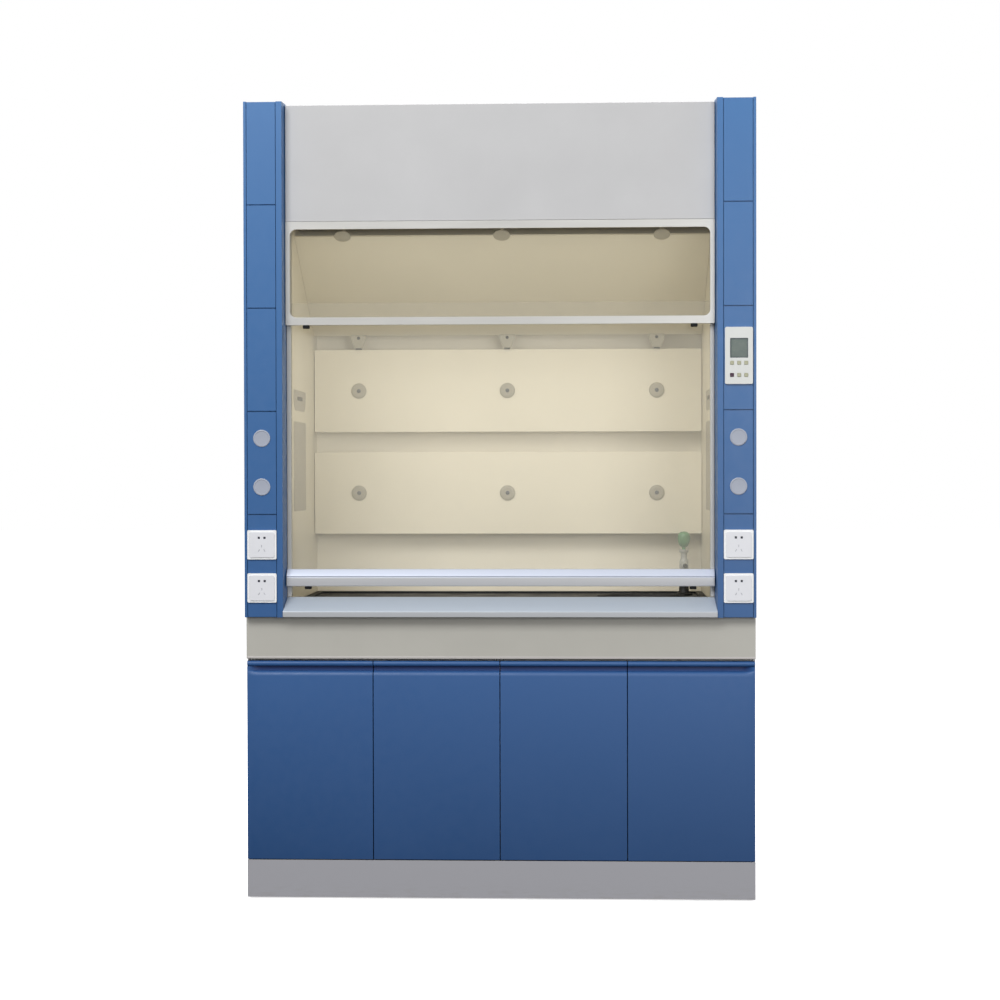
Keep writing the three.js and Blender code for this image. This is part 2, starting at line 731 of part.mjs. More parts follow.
add("sash_handle", sashHandle(), ALUMINIUM);

// The upright at each glass edge, with the arm that clamps the balance belt.
function sashStile(sign) {
  const { inner, outer } = STILE;
  const y = [SASH_MID - 4, SASH_MID + 4];
  const arm = [1620, 1660];
  const bar = box(span(sign, inner, outer), y, [SASH_BOTTOM + 7.5, SASH_TOP]);
  const reach = box(span(sign, outer - 1, BELT_MID - 12), y, arm);
  const clampY = [SASH_MID - 8, SASH_MID + 6];
  const clamp = box(span(sign, BELT_MID - 14, BELT_MID + 14), clampY, arm);
  const beltY = [PULLEY_Y - PULLEY_RADIUS - 2.6, PULLEY_Y - PULLEY_RADIUS + 0.2];
  const cuts = [
    box(span(sign, 610, 626.4), [SASH_MID - 2.9, SASH_MID + 2.9], [SASH_BOTTOM, SASH_TOP + 5]),
    box(span(sign, BELT_MID - 8, BELT_MID + 8), beltY, [arm[0] - 5, arm[1] + 5]),
  ];
  return joined([bar, reach, clamp], cuts);
}
add("sash_stile_left", sashStile(-1), ALUMINIUM);
add("sash_stile_right", sashStile(1), ALUMINIUM);

// Two upright bars with a slit between them, closed only at their ends.
function sashTrack(sign) {
  const x = span(sign, TRACK_INNER, LINER_INNER - 0.8);
  const height = [AIRFOIL_HIGH + 1.5, HEIGHT - 5];
  const depth = [SASH_MID - 12, SASH_MID + 12];
  const slit = box(
    span(sign, TRACK_INNER - 5, LINER_INNER + 5),
    [SASH_MID - 5.3, SASH_MID + 5.3],
    [height[0] + 6, height[1] - 6],
  );
  return joined([box(x, depth, height)], [slit]);
}
add("sash_track_left", sashTrack(-1), ALUMINIUM);
add("sash_track_right", sashTrack(1), ALUMINIUM);

// ---- Sash balance: belts, pulleys and counterweights ----
const PULLEY_WIDTH = 18;

function pulleyX(mid) {
  return [mid - PULLEY_WIDTH / 2, mid + PULLEY_WIDTH / 2];
}

function syncShaft() {
  const pulleys = [-BELT_MID, BELT_MID].map((mid) =>
    rodX(PULLEY_RADIUS, pulleyX(mid), PULLEY_Y, TOP_PULLEY_Z, 32),
  );
  return joined([rodX(10, [-708, 708], PULLEY_Y, TOP_PULLEY_Z, 16), ...pulleys]);
}
add("sync_shaft", syncShaft(), DARK_STEEL);

function idlerPulley(sign) {
  const wheel = rodX(PULLEY_RADIUS, pulleyX(sign * BELT_MID), PULLEY_Y, IDLER_Z, 32);
  const bore = rodX(6.5, pulleyX(sign * BELT_MID).map((x, i) => x + (i ? 5 : -5)), PULLEY_Y, IDLER_Z, 12);
  return joined([wheel], [bore]);
}
add("idler_pulley_left", idlerPulley(-1), DARK_STEEL);
add("idler_pulley_right", idlerPulley(1), DARK_STEEL);

function beltLoop(radius) {
  const s = new THREE.Shape();
  s.absarc(PULLEY_Y, TOP_PULLEY_Z, radius, 0, Math.PI);
  s.absarc(PULLEY_Y, IDLER_Z, radius, Math.PI, 2 * Math.PI);
  return s;
}

function belt(sign) {
  const loop = beltLoop(PULLEY_RADIUS + 2.2);
  loop.holes.push(beltLoop(PULLEY_RADIUS + 0.4));
  return alongX(loop, [sign * BELT_MID - 7, sign * BELT_MID + 7], 8);
}
add("belt_left", belt(-1), RUBBER);
add("belt_right", belt(1), RUBBER);

const WEIGHT_Z = [1500, 1850];

// A steel bar behind the rear run of the belt, with a clamp around the belt at its top.
function counterweight(sign) {
  const rearRun = PULLEY_Y + PULLEY_RADIUS;
  const bar = box(span(sign, BELT_MID - 35, BELT_MID + 35), [rearRun + 5, rearRun + 45], WEIGHT_Z);
  const clampZ = [WEIGHT_Z[1] - 40, WEIGHT_Z[1]];
  const clamp = box(span(sign, BELT_MID - 14, BELT_MID + 14), [rearRun - 6, rearRun + 6], clampZ);
  const beltY = [rearRun - 0.2, rearRun + 2.8];
  const slot = box(span(sign, BELT_MID - 8, BELT_MID + 8), beltY, [clampZ[0] - 5, clampZ[1] + 5]);
  return joined([bar, clamp], [slot]);
}
add("counterweight_left", counterweight(-1), DARK_STEEL);
add("counterweight_right", counterweight(1), DARK_STEEL);

// ---- Chamber ----
const LINER = 5;
const LINER_BOTTOM = WORK_TOP + GAP;

function sideLiner(sign) {
  const x = span(sign, LINER_INNER, LINER_INNER + LINER);
  return box(x, [SASH_MID + 12.5, REAR_WALL - GAP], [LINER_BOTTOM, CHAMBER_TOP]);
}
add("liner_left", sideLiner(-1), LINER_CREAM);
add("liner_right", sideLiner(1), LINER_CREAM);

const LINER_HALF = LINER_INNER + LINER;

function rearLiner() {
  const z = [WORK_TOP + GAP, CHAMBER_TOP];
  return box([-LINER_HALF, LINER_HALF], [REAR_WALL, REAR_WALL + LINER + 1], z);
}
add("liner_rear", rearLiner(), LINER_CREAM);

const EXHAUST_Y = 150;
const EXHAUST_RADIUS = 121;
const CEILING_TOP = CHAMBER_TOP + GAP + 6;
const LAMP_X = [-300, 300];
const LAMP_Y = [-310, -200];

function ceilingLiner() {
  const plate = box(
    [-LINER_HALF, LINER_HALF],
    [SASH_MID + 20, REAR_WALL + LINER + 1],
    [CHAMBER_TOP + GAP, CEILING_TOP],
  );
  const through = [CHAMBER_TOP - 5, CEILING_TOP + 5];
  return joined([plate], [
    rodZ(EXHAUST_RADIUS, 0, EXHAUST_Y, through, 36),
    box(LAMP_X, LAMP_Y, through),
  ]);
}
add("liner_ceiling", ceilingLiner(), LINER_CREAM);

function lampHousing() {
  const low = CEILING_TOP + GAP;
  const high = low + 50;
  const grow = ([a, b], by) => [a - by, b + by];
  const shell = box(grow(LAMP_X, 12), grow(LAMP_Y, 8), [low, high]);
  const hollow = box(grow(LAMP_X, 10), grow(LAMP_Y, 6), [low - 5, high - 2]);
  return joined([shell], [hollow]);
}
add("lamp_housing", lampHousing(), GREY_STEEL);

function exhaustCollar() {
  const low = CEILING_TOP + GAP;
  const high = HEIGHT - 5;
  const inner = EXHAUST_RADIUS;
  const profile = [
    [inner, low],
    [inner + 26, low],
    [inner + 26, low + 4],
    [inner + 4, low + 4],
    [inner + 4, high - 5],
    [inner + 20, high - 5],
    [inner + 20, high],
    [inner, high],
    [inner, low],
  ];
  return turnedZ(profile, 0, EXHAUST_Y, 36);
}
add("exhaust_collar", exhaustCollar(), WARM_GREY);

const BAFFLE_HALF = 630;
const FIXING_XS = [-485, 0, 485];

// An upright baffle on stand-offs from the rear wall, with a round washer over each of them.
function uprightBaffle(z, fixingZs) {
  const plate = box([-BAFFLE_HALF, BAFFLE_HALF], [BAFFLE_FRONT, BAFFLE_FRONT + LINER], z);
  const pieces = [plate];
  for (const x of FIXING_XS) {
    for (const height of fixingZs) {
      pieces.push(rodY(9, x, [BAFFLE_FRONT + 1, REAR_WALL - GAP], height, 12));
      pieces.push(rodY(25, x, [BAFFLE_FRONT - 4, BAFFLE_FRONT + 1], height, 20));
    }
  }
  return joined(pieces);
}
add("baffle_middle", uprightBaffle([1394, 1662], [1530]), LINER_CREAM);
add("baffle_lower", uprightBaffle([1062, 1328], [1195]), LINER_CREAM);

const BAFFLE_TOP_LOW = 1708;
const BAFFLE_TOP_HIGH = 1979;
const BAFFLE_TOP_FRONT = -185;
const BAFFLE_TOP_HALF = 632;

// The sloping baffle, on stand-offs from the rear wall near its lower edge and hangers from the ceiling.
function slopingBaffle() {
  const rise = BAFFLE_TOP_HIGH - BAFFLE_TOP_LOW;
  const run = BAFFLE_FRONT - BAFFLE_TOP_FRONT;
  const length = Math.hypot(rise, run);
  const up = [(run / length) * LINER, (rise / length) * LINER];
  const section = outline([
    [BAFFLE_FRONT, BAFFLE_TOP_LOW],
    [BAFFLE_FRONT + up[1], BAFFLE_TOP_LOW + up[0]],
    [BAFFLE_TOP_FRONT + up[1], BAFFLE_TOP_HIGH + up[0]],
    [BAFFLE_TOP_FRONT, BAFFLE_TOP_HIGH],
  ]);
  const pieces = [alongX(section, [-BAFFLE_TOP_HALF, BAFFLE_TOP_HALF])];
  const slope = rise / run;
  const backY = 228;
  const hangY = -150;
  const heightAt = (y) => BAFFLE_TOP_LOW + (BAFFLE_FRONT - y) * slope;
  for (const x of FIXING_XS) {
    pieces.push(rodY(9, x, [backY, REAR_WALL - GAP], heightAt(backY) + 10, 12));
    pieces.push(rodZ(6, x, hangY, [heightAt(hangY) + 2, CHAMBER_TOP], 10));
  }
  return joined(pieces);
}
add("baffle_top", slopingBaffle(), LINER_CREAM);

// ---- Outer back ----
add(
  "back_panel",
  box([-714, 714], [BACK - SHEET, BACK - 0.5], [BASE_TOP + 5, HEIGHT - 21]),
  GREY_STEEL,
);

export default hood;
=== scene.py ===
# A walk-up laboratory fume hood: fine meshes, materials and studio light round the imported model.
# Meshes are made in millimetres in the model's frame, and scaled to metres as they become pieces.
import json
import math

import bmesh
import bpy
from mathutils import Matrix, Vector


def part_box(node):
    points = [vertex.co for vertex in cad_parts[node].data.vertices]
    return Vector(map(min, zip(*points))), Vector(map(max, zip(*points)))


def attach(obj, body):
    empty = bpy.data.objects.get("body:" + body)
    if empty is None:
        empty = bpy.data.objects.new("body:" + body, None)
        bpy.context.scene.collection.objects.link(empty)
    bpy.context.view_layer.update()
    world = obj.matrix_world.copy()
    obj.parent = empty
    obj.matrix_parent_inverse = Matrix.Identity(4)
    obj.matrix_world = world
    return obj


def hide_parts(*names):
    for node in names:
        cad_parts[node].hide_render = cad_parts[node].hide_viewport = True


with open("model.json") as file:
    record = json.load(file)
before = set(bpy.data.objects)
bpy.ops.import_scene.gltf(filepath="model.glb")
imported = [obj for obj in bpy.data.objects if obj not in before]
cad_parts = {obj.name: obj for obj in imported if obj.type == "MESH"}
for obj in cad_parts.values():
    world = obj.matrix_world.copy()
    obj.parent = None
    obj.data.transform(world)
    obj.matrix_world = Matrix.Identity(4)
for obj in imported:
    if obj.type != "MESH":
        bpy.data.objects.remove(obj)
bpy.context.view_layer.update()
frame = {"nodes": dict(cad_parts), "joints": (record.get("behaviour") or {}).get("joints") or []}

MM = 0.001
CABINET = "cabinet"


# ---- Camera, floor and light ----
CAMERA_PLACE = (0.244, -6.350, 1.250)
CAMERA_YAW = 2.33
CAMERA_PITCH = 0.68
CAMERA_ROLL = -0.12
CAMERA_LENS = 73.05
CAMERA_SENSOR = 36


def make_camera():
    data = bpy.data.cameras.new("photo_camera")
    data.lens = CAMERA_LENS
    data.sensor_width = CAMERA_SENSOR
    camera = bpy.data.objects.new("photo_camera", data)
    bpy.context.scene.collection.objects.link(camera)
    yaw, pitch, roll = (math.radians(a) for a in (CAMERA_YAW, CAMERA_PITCH, CAMERA_ROLL))
    camera.matrix_world = (
        Matrix.Translation(CAMERA_PLACE)
        @ Matrix.Rotation(yaw, 4, "Z")
        @ Matrix.Rotation(math.radians(90) - pitch, 4, "X")
        @ Matrix.Rotation(roll, 4, "Z")
    )
    bpy.context.scene.camera = camera


def srgb(red, green, blue):
    """A colour given as 0 to 255 on a screen, as the linear colour that shaders take."""
    def linear(c):
        c /= 255
        return c / 12.92 if c <= 0.04045 else ((c + 0.055) / 1.055) ** 2.4

    return (linear(red), linear(green), linear(blue), 1.0)


def area_light(name, place, target, size, power, colour=(1, 1, 1)):
    data = bpy.data.lights.new(name, "AREA")
    data.shape = "RECTANGLE"
    data.size, data.size_y = size
    data.energy = power
    data.color = colour
    lamp = bpy.data.objects.new(name, data)
    lamp.location = place
    lamp.rotation_euler = (Vector(target) - Vector(place)).to_track_quat("-Z", "Y").to_euler()
    bpy.context.scene.collection.objects.link(lamp)


LIGHT_ABOVE = 0.46
LIGHT_BELOW = 0.10
FADE_START = -0.5
FADE_END = 0.7


def make_world():
    """A white studio: pure white to the eye, and as a light dimmer, the more so from below."""
    world = bpy.data.worlds.new("studio")
    bpy.context.scene.world = world
    world.use_nodes = True
    nodes, links = world.node_tree.nodes, world.node_tree.links
    nodes.clear()
    output, mix, path = (nodes.new("ShaderNode" + kind) for kind in ("OutputWorld", "MixShader", "LightPath"))
    seen, lighting = (nodes.new("ShaderNodeBackground") for _ in range(2))
    direction, split, strength = (
        nodes.new("ShaderNode" + kind) for kind in ("TexCoord", "SeparateXYZ", "MapRange")
    )
    for background in (seen, lighting):
        background.inputs["Color"].default_value = (1, 1, 1, 1)
    limits = {"From Min": FADE_START, "From Max": FADE_END, "To Min": LIGHT_BELOW, "To Max": LIGHT_ABOVE}
    for socket, value in limits.items():
        strength.inputs[socket].default_value = value
    links.new(direction.outputs["Generated"], split.inputs[0])
    links.new(split.outputs["Z"], strength.inputs["Value"])
    links.new(strength.outputs[0], lighting.inputs["Strength"])
    links.new(path.outputs["Is Camera Ray"], mix.inputs[0])
    links.new(lighting.outputs[0], mix.inputs[1])
    links.new(seen.outputs[0], mix.inputs[2])
    links.new(mix.outputs[0], output.inputs[0])


KEY_POWER = 420
SIDE_POWER = 100
CHAMBER_POWER = 2.8
CHAMBER_COLOUR = (1.0, 0.98, 0.93)
CHAMBER_LEVEL = 1.54
BEHIND_GLASS = 0.012


def make_lights():
    """Soft light from the front and from behind, and a weak glow inside the chamber."""
    middle = (0, 0, 1.2)
    area_light("key", (-2.4, -6.5, 6.2), middle, (3.4, 3.4), KEY_POWER)
    area_light("fill", (2.4, -6.2, 1.9), (0, 0, 1.3), (2, 2), SIDE_POWER)
    for name, x in (("back_left", -3.5), ("back_right", 3.5)):
        area_light(name, (x, 4.0, 3.2), middle, (2.5, 2.5), SIDE_POWER)
    glass_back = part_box("sash_glass")[1].y
    place, target = (0, glass_back + BEHIND_GLASS, CHAMBER_LEVEL), (0, 1, CHAMBER_LEVEL)
    area_light("chamber", place, target, (1.2, 0.8), CHAMBER_POWER, CHAMBER_COLOUR)


# ---- Materials ----
class Graph:
    """The nodes of one material. Constants are set on the shader's own sockets."""

    def __init__(self, name, **constants):
        self.material = bpy.data.materials.new(name)
        self.material.use_nodes = True
        self.nodes = self.material.node_tree.nodes
        self.links = self.material.node_tree.links
        self.shader = self.nodes["Principled BSDF"]
        for socket, value in constants.items():
            self.shader.inputs[socket.replace("_", " ")].default_value = value
        self.place = self.nodes.new("ShaderNodeTexCoord").outputs["Object"]

    def node(self, kind, inputs, **settings):
        made = self.nodes.new("ShaderNode" + kind)
        for key, value in settings.items():
            setattr(made, key, value)
        for key, value in inputs.items():
            if isinstance(value, bpy.types.NodeSocket):
                self.links.new(value, made.inputs[key])
            else:
                made.inputs[key].default_value = value
        return made

    def noise(self, scale, detail=3.0, stretch=(1, 1, 1)):
        """Noise with features about 1 / scale metres across."""
        mapped = self.node("Mapping", {"Vector": self.place, "Scale": stretch})
        made = self.node("TexNoise", {"Vector": mapped.outputs[0], "Scale": scale, "Detail": detail})
        return made.outputs["Fac"]

    def ramp(self, value, low, high, start=0.3, end=0.7):
        inputs = {"Value": value, "From Min": start, "From Max": end, "To Min": low, "To Max": high}
        return self.node("MapRange", inputs).outputs["Result"]

    def mix(self, factor, first, second):
        made = self.node("Mix", {0: factor, 6: first, 7: second}, data_type="RGBA")
        return made.outputs[2]

    def axis(self, letter):
        return self.node("SeparateXYZ", {0: self.place}).outputs[letter]

    def height(self):
        return self.axis("Z")

    def bump(self, height, depth, strength):
        """Raised by up to depth metres."""
        made = self.node("Bump", {"Height": height, "Distance": depth, "Strength": strength})
        self.links.new(made.outputs[0], self.shader.inputs["Normal"])

    def colour(self, value):
        self.links.new(value, self.shader.inputs["Base Color"])

    def roughness(self, value):
        self.links.new(value, self.shader.inputs["Roughness"])


def tint(colour, factor):
    return tuple(min(1, c * factor) for c in colour[:3]) + (1.0,)


def mottled(g, value, screen_colour, spread):
    """A colour given as on a screen, that varies by spread as the value does."""
    colour = srgb(*screen_colour)
    g.colour(g.mix(value, tint(colour, 1 - spread), tint(colour, 1 + spread)))


def enamel_skin(g, dull, duller):
    """Roughness between two values, and the fine ripple that sprayed paint dries with."""
    g.roughness(g.ramp(g.noise(38, 3), dull, duller))
    g.bump(g.noise(420, 2), 0.00006, 0.35)


def drawn_skin(g, smooth, rougher):
    """Roughness between two values, and the fine lines that drawing leaves along an aluminium section."""
    lines = g.noise(900, 2, (0.01, 1, 1))
    g.roughness(g.ramp(g.noise(60, 3, (0.1, 1, 1)), smooth, rougher))
    g.bump(lines, 0.00003, 0.25)
    return lines


def paint(name, colour, roughness=0.42):
    """Sprayed and baked enamel on sheet steel."""
    g = Graph(name, Coat_Weight=0.12, Coat_Roughness=0.25)
    mottled(g, g.ramp(g.noise(5, 4), 0, 1), colour, 0.03)
    enamel_skin(g, roughness - 0.05, roughness + 0.05)
    return g.material


def post_paint():
    """The posts' blue, with painted shade that deepens it towards the worktop."""
    g = Graph("post_paint", Coat_Weight=0.1, Coat_Roughness=0.3)
    low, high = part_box("side_frame_left")
    level = g.ramp(g.height(), 0, 1, low.z, high.z)
    # painted shade: darker low on the post and lighter high up, as the light from above falls
    shade = g.mix(level, srgb(48, 92, 146), srgb(61, 117, 176))
    cloud = g.ramp(g.noise(5, 4), 0.0, 0.2)
    g.colour(g.mix(cloud, shade, srgb(54, 104, 162)))
    enamel_skin(g, 0.38, 0.48)
    return g.material


def door_paint():
    """The doors' darker blue, with painted shade that deepens it towards the floor, and a painted shadow in
    the finger channel under the lip.
    """
    g = Graph("door_paint", Coat_Weight=0.05, Coat_Roughness=0.35)
    low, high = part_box("door_1")
    level = g.ramp(g.height(), 0, 1, low.z, high.z)
    # painted shade: darker towards the floor and lighter towards the top, as the light from above falls
    shade = g.mix(level, srgb(24, 68, 118), srgb(47, 93, 151))
    cloud = g.ramp(g.noise(4, 4), 0.0, 0.2)
    face = g.mix(cloud, shade, srgb(46, 85, 138))
    # painted shadow: a near-black blue laid into the finger channel, strongest at its back under the lip
    depth = g.ramp(g.axis("Y"), 0, 0.95, low.y + 0.003, low.y + 0.013)
    near_top = g.ramp(g.height(), 0, 1, high.z - 0.062, high.z - 0.031)
    painted_channel_shadow = g.node("Math", {0: depth, 1: near_top}, operation="MULTIPLY").outputs[0]
    g.colour(g.mix(painted_channel_shadow, face, srgb(5, 36, 98)))
    enamel_skin(g, 0.44, 0.54)
    return g.material


def kick_paint():
    """Grey enamel that shoes and mops have dulled near the floor."""
    g = Graph("kick_paint", Coat_Weight=0.08, Coat_Roughness=0.3)
    near_floor = g.ramp(g.height(), 0.6, 0, 0.005, 0.05)
    scuff = g.ramp(g.noise(30, 6, (1, 1, 6)), 0, 1, 0.5, 0.72)
    dulled = g.node("Math", {0: near_floor, 1: scuff}, operation="MULTIPLY").outputs[0]
    g.colour(g.mix(dulled, srgb(166, 166, 172), srgb(154, 152, 152)))
    enamel_skin(g, 0.42, 0.55)
    return g.material


def coated_aluminium(name, colour):
    """Drawn aluminium section under a satin coat: fine lines run along its length."""
    g = Graph(name, Metallic=0.25, Coat_Weight=0.2, Coat_Roughness=0.18)
    lines = drawn_skin(g, 0.3, 0.39)
    mottled(g, g.ramp(lines, 0, 1), colour, 0.02)
    return g.material


def aluminium_with_painted_light(name, fold, lower, upper):
    """Satin aluminium in two tones that meet at a fold, at the height given in metres. The upper tone is a
    painted highlight: lighter and bluer where the face looks up to the light.
    """
    g = Graph(name, Metallic=0.2, Coat_Weight=0.15, Coat_Roughness=0.25)
    level = g.ramp(g.height(), 0, 1, fold - 0.002, fold + 0.002)
    g.colour(g.mix(level, lower, upper))
    drawn_skin(g, 0.42, 0.5)
    return g.material


def liner_board(name, colour):
    """Cream laminate board, very faintly mottled, with a hammered skin."""
    g = Graph(name, Coat_Weight=0.1, Coat_Roughness=0.35)
    mottled(g, g.ramp(g.noise(3, 5), 0, 1), colour, 0.03)
    g.roughness(g.ramp(g.noise(25, 4), 0.38, 0.5))
    g.bump(g.noise(600, 3), 0.00005, 0.3)
    return g.material


def worktop_resin():
    """Black epoxy resin with grey grit in it."""
    g = Graph("worktop_resin", Specular_IOR_Level=0.3)
    grit = g.ramp(g.noise(900, 2), 0, 1, 0.62, 0.7)
    g.colour(g.mix(grit, srgb(28, 29, 31), srgb(66, 68, 70)))
    g.roughness(g.ramp(g.noise(14, 5), 0.42, 0.6))
    g.bump(g.noise(260, 3), 0.00008, 0.2)
    return g.material


def plastic(name, colour, roughness, coat=0.0):
    """Moulded plastic with a fine spark-eroded grain."""
    g = Graph(name, Coat_Weight=coat, Coat_Roughness=0.1)
    mottled(g, g.ramp(g.noise(20, 3), 0, 1), colour, 0.015)
    g.roughness(g.ramp(g.noise(90, 2), roughness - 0.04, roughness + 0.04))
    g.bump(g.noise(700, 2), 0.00004, 0.3)
    return g.material


def rubber(name, colour):
    """Matt rubber, blotchy with dust."""
    g = Graph(name, Specular_IOR_Level=0.3)
    g.colour(g.mix(g.ramp(g.noise(60, 4), 0, 1), tint(colour, 0.8), tint(colour, 1.25)))
    g.roughness(g.ramp(g.noise(120, 3), 0.62, 0.82))
    g.bump(g.noise(500, 3), 0.0001, 0.4)
    return g.material


def steel(name, colour, roughness):
    """Bright steel with the marks of its drawing or turning."""
    g = Graph(name, Metallic=1.0)
    lines = g.noise(500, 3, (1, 1, 0.02))
    g.colour(g.mix(g.ramp(lines, 0, 1), tint(colour, 0.9), tint(colour, 1.08)))
    g.roughness(g.ramp(lines, roughness - 0.06, roughness + 0.08))
    g.bump(lines, 0.00004, 0.3)
    return g.material


def cast_iron():
    """Rough grey iron, as it comes from the mould."""
    g = Graph("cast_iron", Metallic=0.6)
    g.colour(g.mix(g.ramp(g.noise(60, 6), 0, 1), srgb(70, 72, 76), srgb(104, 104, 106)))
    g.roughness(g.ramp(g.noise(90, 4), 0.5, 0.7))
    g.bump(g.noise(300, 6), 0.0003, 0.5)
    return g.material


def clear_glass(name, film, colour):
    """Toughened glass: mostly clear, with a soft film that catches the light."""
    g = Graph(name, Specular_IOR_Level=0.5)
    edge = g.node("LayerWeight", {"Blend": 0.25}).outputs["Fresnel"]
    g.links.new(g.ramp(edge, film, 0.5, 0.0, 1.0), g.shader.inputs["Alpha"])
    mottled(g, g.ramp(g.noise(2, 3), 0, 1), colour, 0.05)
    g.roughness(g.ramp(g.noise(6, 5), 0.02, 0.07))
    return g.material


def lamp_diffuser():
    """A frosted prismatic sheet that glows faintly."""
    g = Graph("lamp_diffuser", Emission_Color=(1.0, 0.98, 0.94, 1.0), Emission_Strength=0.15)
    prisms = g.noise(200, 1)
    g.colour(g.mix(g.ramp(prisms, 0, 1), srgb(235, 235, 230), srgb(248, 248, 244)))
    g.roughness(g.ramp(prisms, 0.3, 0.45))
    g.bump(prisms, 0.0002, 0.4)
    return g.material


def lcd():
    """An unlit liquid crystal display: mottled grey-green under a glossy cover."""
    g = Graph("lcd", Coat_Weight=0.6, Coat_Roughness=0.08)
    g.colour(g.mix(g.ramp(g.noise(35, 3), 0, 1), srgb(86, 100, 94), srgb(96, 109, 102)))
    g.roughness(g.ramp(g.noise(300, 2), 0.18, 0.28))
    g.bump(g.noise(900, 1), 0.00002, 0.2)
    return g.material


GRIP_FOLD = 0.951
SILL_FOLD = 0.852
BLUE = post_paint()
DOOR = door_paint()
GREY = paint("grey_paint", (196, 196, 197))
WARM_GREY = paint("warm_grey_paint", (186, 184, 176))
# painted highlight: a lighter copy of the apron's warm grey, for the hem along its lower edge
HEM_PAINTED_HIGHLIGHT = paint("hem_painted_highlight", (190, 186, 183))
KICK = kick_paint()
FRAME_WHITE = coated_aluminium("frame_aluminium", (207, 206, 202))
# painted highlight: the grip's and the sill's upward faces above their folds are painted lighter and bluer
# than the faces below
HANDLE_WHITE = aluminium_with_painted_light("grip_aluminium", GRIP_FOLD, srgb(192, 193, 196), srgb(203, 210, 226))
SILL_GREY = aluminium_with_painted_light("sill_aluminium", SILL_FOLD, srgb(180, 183, 187), srgb(192, 202, 214))
BOARD = liner_board("liner_board", (222, 214, 192))
# painted light: a lighter copy of the liner board for the rear wall, so it reads bright where the sloping
# baffle shades it
WALL_PAINTED_LIGHT = liner_board("wall_board_painted_light", (240, 232, 211))
RESIN = worktop_resin()
BLACK = plastic("black_polymer", (34, 34, 36), 0.4)
DUCT = plastic("duct_plastic", (176, 175, 170), 0.45)
SOCKET = plastic("socket_white", (246, 247, 248), 0.3)
# painted shade: a greyer copy of the socket white for the raised face, darker than the plate round it
SOCKET_FACE_SHADED = plastic("socket_face_painted_shade", (230, 231, 236), 0.35)
SHUTTER = plastic("socket_shutter", (188, 190, 196), 0.4)
SINK_BLACK = plastic("sink_polymer", (16, 16, 17), 0.62)
SLOT_DARK = plastic("socket_dark", (30, 34, 52), 0.5)
HOUSING = plastic("controller_white", (218, 220, 217), 0.35)
BEZEL = plastic("screen_bezel", (56, 70, 72), 0.3)
LCD = lcd()
OLIVE = plastic("key_olive", (178, 178, 150), 0.45)
PURPLE = plastic("key_purple", (64, 26, 54), 0.45)
PLUG = plastic("plug_grey", (166, 172, 186), 0.45)
WASHER = plastic("washer_grey", (160, 154, 136), 0.5)
TAP = paint("tap_enamel", (170, 170, 163), 0.3)
ACCESS = plastic("access_grey", (176, 169, 154), 0.5)
GREEN = plastic("tap_green", (84, 134, 88), 0.4, coat=0.2)
STEEL = steel("steel", (0.52, 0.53, 0.55), 0.36)
BRIGHT = steel("screw_steel", (0.62, 0.62, 0.62), 0.28)
IRON = cast_iron()
RUBBER = rubber("bumper_rubber", srgb(20, 20, 21))
BELT = rubber("belt_rubber", srgb(34, 34, 35))
SASH_GLASS = clear_glass("sash_glass", 0.12, (236, 233, 220))
WINDOW_GLASS = clear_glass("window_glass", 0.16, (172, 166, 148))
DIFFUSER = lamp_diffuser()


# ---- Making pieces ----
SHARP_ANGLE = math.radians(35)


def soften(piece, rounding):
    """Rounds the sharp edges, as folded sheet, sawn board and mouldings have them."""
    bevel = piece.modifiers.new("rounding", "BEVEL")
    bevel.width = rounding * MM
    bevel.segments = 2
    bevel.limit_method = "ANGLE"
    bevel.angle_limit = SHARP_ANGLE
    bevel.harden_normals = True
    bevel.use_clamp_overlap = True


def piece_of(name, shape, finish, body=CABINET, rounding=0.0, replaces=(), slot=None):
    """Turns a bmesh in millimetres into a named piece with its finish, that rides on a body. Its slot
    argument is not used.
    """
    bmesh.ops.recalc_face_normals(shape, faces=shape.faces)
    mesh = bpy.data.meshes.new(name)
    shape.to_mesh(mesh)
    shape.free()
    mesh.transform(Matrix.Scale(MM, 4))
    mesh.materials.append(finish)
    mesh.shade_smooth()
    piece = bpy.data.objects.new(name, mesh)
    bpy.context.scene.collection.objects.link(piece)
    if rounding:
        soften(piece, rounding)
    else:
        mesh.set_sharp_from_angle(angle=SHARP_ANGLE)
    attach(piece, body)
    if replaces:
        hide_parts(*replaces)
    return piece


def solid(name, add, sizes, *finish, **options):
    """A piece of a single shape, which one of the add functions makes from its sizes."""
    shape = bmesh.new()
    add(shape, *sizes)
    piece_of(name, shape, *finish, **options)


def carried(node, finish, rounding=0.0):
    """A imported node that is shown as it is, with a finer material and softer edges."""
    piece = frame["nodes"][node]
    for held in piece.material_slots:
        held.material = finish
    if rounding:
        weld = piece.modifiers.new("weld", "WELD")
        weld.merge_threshold = 0.01 * MM
        flat = piece.modifiers.new("flat", "DECIMATE")
        flat.decimate_type = "DISSOLVE"
        flat.angle_limit = math.radians(0.5)
        soften(piece, rounding)


def box_mm(node):
    """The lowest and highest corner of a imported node."""
    low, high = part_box(node)
    return low / MM, high / MM


def centre(low, high):
    return ((a + b) / 2 for a, b in zip(low, high))


def add_box(shape, x, y, z):
    """A block over the ranges x, y and z."""
    size = Vector((x[1] - x[0], y[1] - y[0], z[1] - z[0]))
    middle = Vector((x[0] + x[1], y[0] + y[1], z[0] + z[1])) / 2
    bmesh.ops.create_cube(shape, size=1, matrix=Matrix.Translation(middle) @ Matrix.Diagonal(size).to_4x4())


def span(sign, a, b):
    """The stretch between two distances from the middle, on the side that sign names."""
    return tuple(sorted((sign * a, sign * b)))


